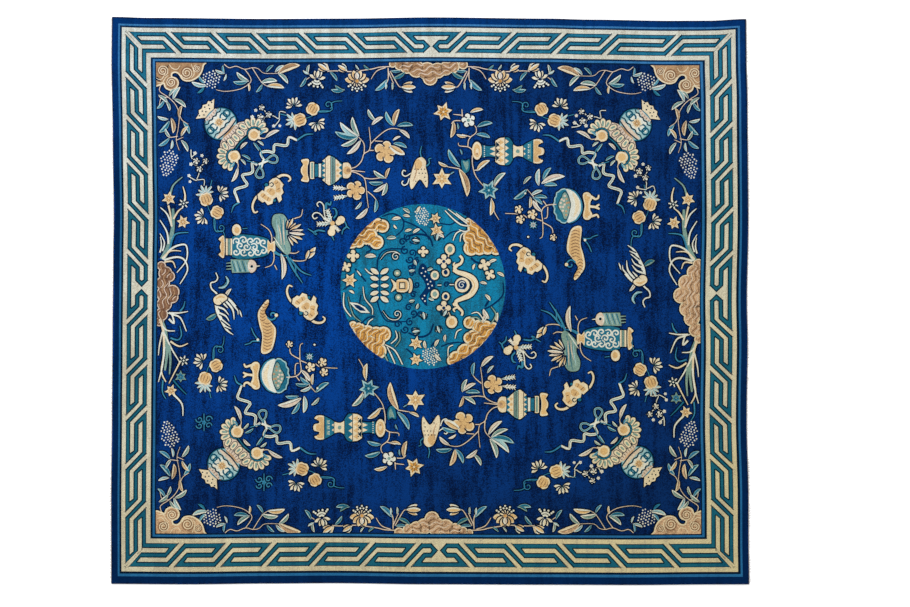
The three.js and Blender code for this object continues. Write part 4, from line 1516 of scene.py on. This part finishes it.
# the open field: each motif stands twice, the second turned half about
openField = [
    (waistedVase, (-101.5, 131.0), (90.5, -103.1), 1), (beakerVase, (74.4, 150.1), (-77, -126.1), 1),
    (bowlAndTree, (135.2, 95.5), (-152.5, -74.3), 1), (lotusVase, (-180.4, 54.6), (172.5, -37.1), 1),
    (bat, (-159.1, 108.9), (145, -90.6), 1), (bat, (99, 39.4), (-124.6, -4.1), -1),
    (crane, (-205.3, 1.8), (206, 21.1), 1), (walkingBird, (-164.2, -23.3), (147, 46.4), 1),
    (flowerMoth, (-98, 78.1), (86.5, -46), 1), (speckledMoth, (-10.2, 129.2), (0, -130.6), 1)
]
for motif, first, second, flip in openField:
    for place, turn in ((first, 0), (second, 180)):
        motif(Pen(*place, turn, flip=flip, step=motifStep))
print("field drawn")


# the round medallion: rocks cut by its rim, and small things between them
medallion = {"x": -7.0, "y": 14.8, "radius": 82.5}


def medallionPen(layer=7, edge="shade"):
    pen = Pen(medallion["x"], medallion["y"], layer=layer, step=motifStep, edge=edge, edgeLayer=5)
    pen.ring = (medallion["x"], medallion["y"], medallion["radius"])
    pen.edgeWidth = 1.45
    return pen


# the disc is laid in rings, so that it follows the ground
hoops = [medallion["radius"] * (i + 1) / 12 for i in range(12)]
disc = Pen(medallion["x"], medallion["y"], edge=None)
disc.dot("bright", 0, 0, hoops[0], 96)
rounds = [[disc.matrix @ Vector((*toward(3.75 * i, hoop), 1)) for i in range(96)] for hoop in hoops]
for near, far in zip(rounds, rounds[1:]):
    ribbon("bright", near, far, closed=True)
rimRocks = {
    "northWest": [
        (-71, 43.5, 5), (-64, 44.5, 5), (-67, 48, 7), (-60.5, 54.5, 7.5), (-53, 60.5, 7.5),
        (-54.5, 50.5, 8.5), (-46.5, 62, 6.5), (-46.5, 44.5, 6.5), (-40.5, 60.5, 6)
    ],
    "northEast": [
        (46.5, 64.5, 4), (73, 37.5, 5.5), (52.5, 58, 7.5), (68, 44.5, 8.5), (61, 52, 8.5), (64.5, 38.5, 6),
        (56.5, 38.5, 6.5), (56, 46, 7.5), (48, 49.5, 7.5), (48, 38.5, 7)
    ],
    "southWest": [
        (-70, -38.5, 3.5), (-64, -42.5, 6), (-61.5, -51, 7.5), (-55.5, -45, 6), (-53, -57, 8),
        (-44.5, -64.5, 7.5), (-44.5, -55, 6), (-47, -46.5, 6), (-39.5, -47.5, 7)
    ],
    "southEast": [
        (29.5, -74, 5), (70, -41.5, 5.5), (33, -71.5, 6.5), (64.5, -47.5, 8.5), (42.5, -65.5, 8),
        (58.5, -53.5, 8.5), (52.5, -59.5, 8.5), (63, -40, 5.5), (56, -40, 6.5), (46.5, -36, 5.5),
        (51, -50, 6.5), (46.5, -51.5, 5.5)
    ],
}
for lobes, turn in zip(rimRocks.values(), (20, 130, 60, 40)):
    cloudRock(medallionPen(8), lobes, "gold", "cream", ("brown", "cream"), turn, 3, 1.05, 1.3)

pen = medallionPen()
for points, width in (
    (
        [
            (-15.5, 37.3), (-36.1, 37.3), (-44.6, 28.8), (-46, 11.9), (-46, -11.1), (-42.2, -25.7),
            (-34.9, -34.8), (-15.5, -34.8)
        ], 1.2
    ), ([(-41, 70), (-30, 73), (-20, 67), (-20.5, 57), (-27, 51)], 1.2),
    ([(-20, 66), (-8, 61), (2, 54), (6, 47)], 1.2), ([(-15.5, 50.6), (-4, 52.4), (6, 49.5), (10, 40)], 1.5),
    ([(-14.3, -46.3), (-3.4, -50.4), (6.3, -47), (10.5, -37)], 1.5),
    ([(14, 64), (27, 62), (36, 66), (46, 60)], 1.1), ([(18, -60), (28, -56.5), (42, -55.5)], 1.1),
    ([(20, 47), (30, 55), (46, 56)], 1.0), ([(-62, -37), (-55, -31), (-48, -30)], 1.2),
    ([(-62, -8), (-64, -18)], 1.0), ([(48, 29), (52, 25), (57, 23.5)], 1.6),
    ([(-56, 42), (-52, 37), (-57, 34)], 1.4), ([(-68, 18), (-63, 12), (-57, 5)], 1.4),
    ([(58, -24), (70, -18), (80, -8), (80, 4)], 1.3), ([(-80, -3), (-75, 0), (-70, 2)], 1.0),
    ([(8, -60), (14, -52)], 1.2), ([(-17, -62), (-12, -66), (-8, -72)], 1.2), ([(62, -20), (66, -14)], 1.6)
):
    pen.line("navy", points, (width * 1.2, width * 1.4, width))
for x, y, radius, start in (
    (-20.4, 44.6, 4, 0), (-15.5, 49.4, 3.5, 120), (-9.5, 46.5, 4, 200), (-18, 36, 4.4, 90),
    (-10.7, 33.7, 4, 300), (-13.1, 27.2, 4, 180), (-6, 26, 3.2, 60), (-25.2, -37.8, 3.8, 0),
    (-17.9, -42.7, 4.2, 180), (-13.1, -35.6, 4, 80), (-9.5, -26.9, 4, 250), (-14.3, -20.8, 3.6, 30),
    (-8.2, -43.9, 3.6, 120), (-11, 13, 3.4, 0), (-6.5, 2, 3.4, 180), (-9.5, -8, 3.4, 30), (-13, 19, 3, 240),
    (-3, -28, 3.2, 20), (23.5, 2, 3, 0), (-9, 20, 2.6, 90)
):
    curl(pen, "navy", x, y, radius, start, 1.3, 1.7)
for x, y, start in ((-27.2, 30, 60), (-25.8, -27.5, 300)):
    curl(pen, "ivory", x, y, 4.2, start, 1.2, 0.8)
pen.line("ivory", [(-23, 32), (-28, 35), (-37, 33.5), (-42.5, 27)], (0.7, 0.7, 0.3))
pen.line("ivory", [(-22, -29), (-26, -33), (-34, -32), (-40.5, -24)], (0.7, 0.7, 0.3))

# the dark speckled butterfly, the censer and its leaflets
pen.area("navy", [(0.2, 23.4), (3.9, 19.1), (5.1, 13.1), (11.1, 7), (12.4, -0.2), (7.5, -3.9), (3.9, -9.9),
    (3.9, -19.6), (-3.4, -11.1), (-1, -6.3), (2.7, -0.2), (0.2, 7), (-4.6, 13.1), (-3.4, 20.4)])
for x, y in (
    (0, 18.5), (2.5, 15), (-1.5, 13.5), (1.5, 10.5), (4, 7), (7.5, 5), (5, 2.5), (9, 1), (6, -1.5),
    (1.5, -9), (-0.5, -12), (2, -14.5)
):
    pen.dot("ivory", x, y, 0.85, 6)
for x, y, turn in (
    (-6.5, 21.5, 110), (-8.5, 16.5, 185), (-5, -17, 250), (-8.5, -13.5, 190), (4.5, 16, 20),
    (5.5, -12, -20)
):
    leaf(pen, x, y, turn, 5.5, 0.5, "sage")
pen.area("cream", [(-32, 7.5), (-27, 4), (-26, 6.5), (-22, 7.5), (-17.5, 7), (-14, 4), (-14, -2),
    (-17.5, -5.4), (-22, -5.6), (-26, -4.6), (-27, -2), (-32, -5.5), (-29.5, 1)])
pen.area("ochre", [(-25, 5.8), (-17.5, 5.8), (-15.6, 3), (-15.6, -1), (-17.5, -3.8), (-25, -3.8),
    (-26.4, -1), (-26.4, 3)])
pen.area("shade", [(-24, 4.4), (-17.6, 4.4), (-17.6, -2.4), (-24, -2.4)], smooth=False)
pen.area("cream", [(-23, 3.4), (-18.6, 3.4), (-18.6, -1.4), (-23, -1.4)], smooth=False)
pen.area("cream", [(-14.4, 8.2), (-11.6, 6.6), (-10.4, 1), (-11.6, -4.6), (-14.4, -6.2), (-12.9, 1)])
pen.line("ochre", [(-13, 6), (-11.6, 1), (-13, -4)], (0.5, 1.5, 0.5))
pen.stroke("navy", (-43.4, 14), (-43.4, -13), (0.9, 0.9))
for y, left, right, length in (
    (12, 146, 34, 8.5), (6.6, 162, 18, 7.6), (1, 180, 0, 7.0), (-4.8, 198, -16, 7.6), (-9.4, 212, -34, 8.5)
):
    for turn in (left, right):
        x, up = toward(turn, 1.2, -43.4, y)
        leaf(pen, x, up, turn, length + 1, 0.52, "petal", 0, False)
for x, y in ((-25.8, 13.5), (-24.6, -10.8)):
    pen.dot("sage", x, y, 3.2, 9)
    pen.dot("cream", x, y, 1.5, 7)

# the pale sceptre with its roundel, and the tasselled loops
pen.dot("cream", 39.2, 1.6, 7.4, 16)
pen.dot("navy", 38.8, 1.6, 5.2, 12)
curl(pen, "ivory", 38.8, 1.6, 3.8, 40, 1.2, 0.9)
pen.stroke("ivory", (35.6, -2.5), (41, -3), (0.7, 0.7))
pen.line("cream", [(36.8, 31), (39.4, 27.5), (37.5, 23), (32, 20), (33.5, 15), (42.7, 12), (50, 7.5),
    (52.3, 0), (47.5, -8), (40.2, -11.6), (33, -15), (34.5, -20), (39.3, -25), (38.6, -29)], (2.4, 2.4, 2.6,
    3.4, 4.2, 5.4, 6.2, 5.6, 4.6, 3.6, 2.8, 2.4, 2.0))
for y, up in ((14, 3.4), (19.5, 4.6), (-15.5, -4), (-20.5, -4.6)):
    pen.line("cream", [(34.5, y), (30.5, y + up * 0.5), (32, y + up)], (2.0, 1.8, 1.0))
pen.line("ochre", [(43, 11), (49.4, 6), (51.6, 0), (47.4, -7)], (0.4, 1.0, 1.2, 0.4))
pen.line("cream", [(26.5, 34), (24, 26), (22.7, 18)], (1.3, 1.0))
pen.line("cream", [(22.7, -13), (24.5, -23), (28, -31)], (1.3, 1.0))
for x, y, radius, heart in (
    (26.9, 37.3, 5, "sage"), (22.7, 14.3, 3.8, "navy"), (11.8, 11.3, 4.2, "sage"),
    (11.8, -7.5, 4.2, "sage"), (22.7, -9.9, 3.8, "navy"), (28.7, -35.4, 5.6, "ochre")
):
    pen.dot("cream", x, y, radius, 12, 1.1)
    pen.dot(heart, x, y, radius * 0.55, 9, 1.2)
for y in (25.2, -21.4):
    blossom(pen, 20.8, y, 7.4, "cream", "navy", 4, 0)
    for turn in range(45, 405, 90):
        pen.stroke("navy", toward(turn, 2.6, 20.8, y), toward(turn, 6.2, 20.8, y), (1.0, 1.7))
pen.stroke("ivory", (14.5, 1.5), (18.5, 1.5), (0.9, 0.9))
pen.stroke("ivory", (26.5, 2), (31, 2), (0.9, 0.9))

# blossoms, grapes and grasses between the rocks
for x, y, radius, turn in (
    (12.4, 68.2, 6, 10), (13.6, 56.1, 7, 40), (-73.1, 6.4, 7.6, 0), (-7, -56.6, 7.2, 20),
    (-7, -72.9, 6.6, 50)
):
    starFlower(pen, x, y, radius, "cream", "ochre", 6, turn, 0.5)
for x, y, radius, turn in (
    (-70, 30.7, 6.4, 0), (-77, 19.8, 5.6, 30), (61.4, 21.6, 6.4, 20), (67, 11.9, 5.6, 60),
    (0.2, 34.9, 5.4, 90)
):
    blossom(pen, x, y, radius, "cream", "cream", 4, turn)
for x, y, turn in (
    (13.6, 45.8, 80), (1.5, -33, 100), (14.2, -39, -70), (-3, 45.5, 170), (-3, -44, 190), (20, -30, 60)
):
    tulipBud(pen, x, y, turn, 7, "pale")
pen.edgeWidth = 1.0
leaves(pen, [(-58, 30, 0, 11, "straw"), (-31, 67, 8, 9, "petal"), (-26, 58, 130, 5, "petal"),
    (-36, 48, 4, 9, "sage"), (-18, 55, 15, 7, "petal"), (-10, 53.5, 30, 8, "petal"), (-20, 71, -10, 7,
    "petal"), (-6, 74, 60, 7, "petal"), (-20, 78, -35, 8, "sage"), (14, 53, -30, 8, "straw"),
    (50, 17, 70, 6, "petal"), (22, -55, 85, 7, "straw"), (3, -62, 100, 8, "petal"), (12, -60, 60, 8,
    "petal"), (18, -74, 130, 9, "straw"), (66, -32, 120, 11, "straw"), (60, -36, 60, 10, "straw"),
    (74, -35, 85, 9, "petal"), (57, 4, -12, 7, "petal"), (62, -8, -50, 8, "petal"), (66, 24, 20, 8,
    "petal"), (74, 14, -30, 8, "petal"), (-74, -4, -30, 6, "petal")], 0.4)
grapes(pen, -0.4, 69.5, 7, 9.4, 10, 2.6, 0.85)
grapes(pen, 8.1, -70.5, 8.6, 9.4, 20, 2.6, 0.85)
pen.area("ivory", [(-74, -15.5), (-66, -16.5), (-58, -20.5), (-53, -26.5), (-62, -26), (-68, -22)],
    smooth=False)
pen.area("navy", [(-70, -17.5), (-64.5, -18.5), (-59.5, -21.5), (-57, -24.5), (-63, -24), (-67, -21)],
    smooth=False)
for wool, width, points in (
    ("ivory", 1.5, [(22, 76), (30, 68), (38, 62), (46, 60.5)]),
    ("ivory", 1.3, [(25, 77.5), (35, 70), (44, 63)]), ("ivory", 1.3, [(33, 73.5), (40, 68), (46, 64.5)]),
    ("ivory", 1.2, [(36, 57), (42, 55), (47, 57)]), ("ivory", 1.3, [(30, 46), (33, 53), (38, 56)]),
    ("ivory", 1.2, [(37, 45), (38, 51), (41, 54)]), ("ivory", 1.4, [(-38, -58), (-28, -64), (-20.5, -78)]),
    ("ivory", 1.4, [(-36, -60), (-32, -68), (-28, -77)]),
    ("ivory", 1.3, [(-27.5, -44), (-26, -51), (-32, -57)]),
    ("sage", 1.3, [(-24, -45), (-23, -53), (-28, -60)]),
    ("sage", 1.5, [(-39, -66), (-37, -71), (-35, -75)]),
    ("ivory", 1.3, [(-79, -6), (-79, -20), (-72, -30)]),
    ("ivory", 1.1, [(-60, 0), (-58, -12), (-51, -21), (-50.5, -28)]),
    ("sage", 1.2, [(-75, -10), (-70, -28), (-62, -35)]),
    ("ivory", 1.3, [(-56, -40), (-54, -35), (-50, -32)]),
    ("ivory", 1.2, [(25, -70), (25.5, -61), (30, -58.5)]),
    ("ivory", 1.3, [(32, -52), (34, -45), (38.5, -42.5)]),
    ("ivory", 1.3, [(48.5, -27), (55, -26), (61, -34)]), ("sage", 1.4, [(47, -31), (54, -31), (58, -35)]),
    ("sage", 1.4, [(68, -20), (73, -28), (68, -37)]), ("ivory", 1.3, [(-58, 18), (-54, 14), (-50, 12)]),
    ("ivory", 1.3, [(-66, 16), (-62, 11)])
):
    pen.line(wool, points, (width * 0.6, width, width * 0.8))
print("medallion drawn")


def finished(bm, name, material):
    # a mesh object with its place in its mesh
    mesh = bpy.data.meshes.new(name)
    bm.to_mesh(mesh)
    bm.free()
    mesh.materials.append(material)
    piece = bpy.data.objects.new(name, mesh)
    bpy.context.scene.collection.objects.link(piece)
    return piece


# lengths in knots, and what the pattern stands clear of the ground in metres
weave = {"weld": 0.001, "longEdge": 14, "longest": 18, "clear": 0.0001}


def vertsOf(items):
    return [item for item in items if isinstance(item, bmesh.types.BMVert)]


def wovenMotifs(wool):
    # gives a chart its pile: long edges are cut to follow the ground, and each shape gets its thickness
    chartOf(wool, 0)
    chart = charts[wool]
    bmesh.ops.remove_doubles(chart, verts=chart.verts, dist=weave["weld"])
    for limit, cuts in ((weave["longEdge"], 1), (weave["longEdge"], 1), (weave["longest"], 2)):
        if cuts == 2:
            bmesh.ops.triangulate(chart, faces=chart.faces)
        far = [edge for edge in chart.edges if edge.calc_length() > limit]
        bmesh.ops.subdivide_edges(chart, edges=far, cuts=cuts)
    bmesh.ops.triangulate(chart, faces=chart.faces)
    upper = set(vertsOf(bmesh.ops.extrude_face_region(chart, geom=chart.faces[:])["geom"]))
    for vert in chart.verts:
        x = vert.co.x * knot + chartShift[0]
        y = vert.co.y * knot + chartShift[1]
        if vert in upper:
            height = groundHeight(x, y) + weave["clear"] + vert.co.z * carpet["layer"]
        else:
            height = carpet["buried"]
        vert.co = (x, y, height)
    bmesh.ops.recalc_face_normals(chart, faces=chart.faces)
    return finished(chart, "pile_" + wool, woolMaterials[wool])


def groundPile():
    # the plain ground: a fine grid for its lie, stepped down round the rim and closed underneath
    bm = bmesh.new()
    across = round(carpet["length"] / carpet["cell"])
    upward = round(carpet["width"] / carpet["cell"])
    bmesh.ops.create_grid(bm, x_segments=across, y_segments=upward, size=1)
    rim = [(0.0080, carpet["ground"]), (0.0025, 0.0096), (0.0, 0.0065), (0.0, 0.0)]    # inset and height
    places = {vert: (vert.co.x, vert.co.y, 0) for vert in bm.verts}
    for step in range(1, len(rim)):
        border = [edge for edge in bm.edges if edge.is_boundary]
        for vert in vertsOf(bmesh.ops.extrude_edge_only(bm, edges=border)["geom"]):
            places[vert] = (vert.co.x, vert.co.y, step)
    for vert, (u, v, step) in places.items():
        inset, height = rim[step]
        x, y = onBody(u * (halfLength - inset), v * (halfWidth - inset))
        x += chartShift[0]
        y += chartShift[1]
        vert.co = (x, y, groundHeight(x, y) if step == 0 else height)
    bottom = [edge for edge in bm.edges if edge.is_boundary]
    bmesh.ops.contextual_create(bm, geom=bottom)
    bmesh.ops.recalc_face_normals(bm, faces=bm.faces)
    for face in bm.faces:
        face.smooth = face.normal.z > 0.9
    return finished(bm, "carpet_ground", woolMaterials["field"])


ground = groundPile()
pieces = [wovenMotifs(wool) for wool in charts]
for piece in [ground] + pieces:
    print(piece.name, len(piece.data.polygons))

ends = {
    "perEnd": 420,
    "short": 0.003,
    "long": 0.0105,
    "thick": 0.0022,
    "tip": 0.22,          # share of the thickness at the loose end
    "clump": 0.3,         # how often a new clump of another length begins
    "least": 0.6,         # share of its clump's length that an end has at least
    "along": 0.998,       # share of the edge that the ends stand on
    "lean": 0.5,
    "lap": 0.0006,        # how far each end reaches into the strip
    "strip": 0.0026,
    "stripTall": 0.0024,
    "stripFoot": 0.0002,
    "stripSteps": 120,
    "gap": 0.0003,
    "corner": 0.005,      # what stays bare at each corner
}


def cottonMaterial():
    g = Graph("cotton_ends")
    place = g.node("ShaderNodeTexCoord", {}, {}, "Object")
    dust = g.noise(place, 60.0, 3.0)
    tone = g.mix(dust, linear(206, 202, 198), linear(150, 142, 134))
    g.feed(g.shader.inputs["Base Color"], tone)
    g.shader.inputs["Roughness"].default_value = 0.9
    twist = g.noise(place, 900.0)
    bump = g.node("ShaderNodeBump", {}, {"Strength": 0.4, "Distance": 0.0005, "Height": twist})
    g.feed(g.shader.inputs["Normal"], bump)
    return g.material


def fringe(side, seed):
    # short worn warp ends in uneven clumps, and the narrow strip of plain weave they come from
    rng = random.Random(seed)
    bm = bmesh.new()
    reach = halfWidth - ends["corner"]
    steps = ends["stripSteps"]
    row = [bm.verts.new((0, 0, 0)) for i in range(steps + 1)]
    spine = [bm.edges.new(pair) for pair in zip(row, row[1:])]
    for i, vert in enumerate(row):
        x, y = onBody(side * halfLength, reach * (2 * i / steps - 1))
        vert.co = (x + side * ends["gap"], y, ends["stripFoot"])
    strip = vertsOf(bmesh.ops.extrude_edge_only(bm, edges=spine)["geom"])
    bmesh.ops.translate(bm, verts=strip, vec=(side * ends["strip"], 0, 0))
    raised = vertsOf(bmesh.ops.extrude_face_region(bm, geom=bm.faces[:])["geom"])
    bmesh.ops.translate(bm, verts=raised, vec=(0, 0, ends["stripTall"]))
    length = ends["short"]
    for i in range(ends["perEnd"]):
        y = reach * (2 * (i + rng.random()) / ends["perEnd"] - 1) * ends["along"]
        x, y = onBody(side * halfLength, y)
        if rng.random() < ends["clump"]:
            length = rng.uniform(ends["short"], ends["long"])
        own = length * rng.uniform(ends["least"], 1.0)
        lean = Matrix.Rotation(rng.uniform(-ends["lean"], ends["lean"]), 4, "Z")
        outward = side * (ends["gap"] + ends["strip"] + own / 2 - ends["lap"])
        middle = Matrix.Translation((x + outward, y, ends["thick"] / 2))
        laid = middle @ lean @ Matrix.Rotation(side * pi / 2, 4, "Y")
        bmesh.ops.create_cone(bm, cap_ends=True, segments=5, radius1=ends["thick"] / 2,
                              radius2=ends["thick"] * ends["tip"], depth=own, matrix=laid)
    bmesh.ops.translate(bm, verts=bm.verts, vec=(chartShift[0], chartShift[1], 0))
    bmesh.ops.recalc_face_normals(bm, faces=bm.faces)
    name = "fringe_left" if side < 0 else "fringe_right"
    piece = finished(bm, name + "_ends", cottonMaterial())
    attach(piece, "root")
    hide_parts(name)
    return piece


fringes = [fringe(-1, 5), fringe(1, 8)]
print("fringes made")

for piece in [ground] + pieces:
    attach(piece, "root")
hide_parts("carpet")

# a plain pale floor under soft light
studio = {
    "floorSize": 14,
    "floorTone": (246, 246, 246),
    "worldStrength": 0.62,
    "keyPower": 330,
    "keySize": 4.5,
    "keyPlace": (-1.2, 1.6, 5.0),
}


def layFloor():
    bm = bmesh.new()
    bmesh.ops.create_grid(bm, x_segments=1, y_segments=1, size=studio["floorSize"] / 2)
    g = Graph("studio_floor")
    g.feed(g.shader.inputs["Base Color"], linear(*studio["floorTone"]))
    g.shader.inputs["Roughness"].default_value = 0.95
    floor = finished(bm, "floor", g.material)


layFloor()
world = bpy.data.worlds.new("studio")
bpy.context.scene.world = world
world.use_nodes = True
background = world.node_tree.nodes["Background"]
background.inputs["Color"].default_value = (1, 1, 1, 1)
background.inputs["Strength"].default_value = studio["worldStrength"]

keyLight = bpy.data.lights.new("key", "AREA")
keyLight.shape = "DISK"
keyLight.size = studio["keySize"]
keyLight.energy = studio["keyPower"]
keyLamp = bpy.data.objects.new("key", keyLight)
keyLamp.location = studio["keyPlace"]
keyLamp.rotation_euler = (-keyLamp.location).to_track_quat("-Z", "Y").to_euler()
bpy.context.scene.collection.objects.link(keyLamp)

# the view straight down, with the carpet a little left of the middle
view = {"lens": 85, "sensor": 36, "imageWidth": 910, "besideX": 25, "besideY": -2.1}
lens = bpy.data.cameras.new("above")
lens.lens = view["lens"]
lens.sensor_width = view["sensor"]
camera = bpy.data.objects.new("above", lens)
distance = view["imageWidth"] * knot * view["lens"] / view["sensor"]
camera.location = (
    view["besideX"] * knot + chartShift[0], view["besideY"] * knot + chartShift[1],
    carpet["top"] + distance
)
bpy.context.scene.collection.objects.link(camera)
bpy.context.scene.camera = camera
bpy.context.scene.view_settings.view_transform = "Standard"
print("studio set")
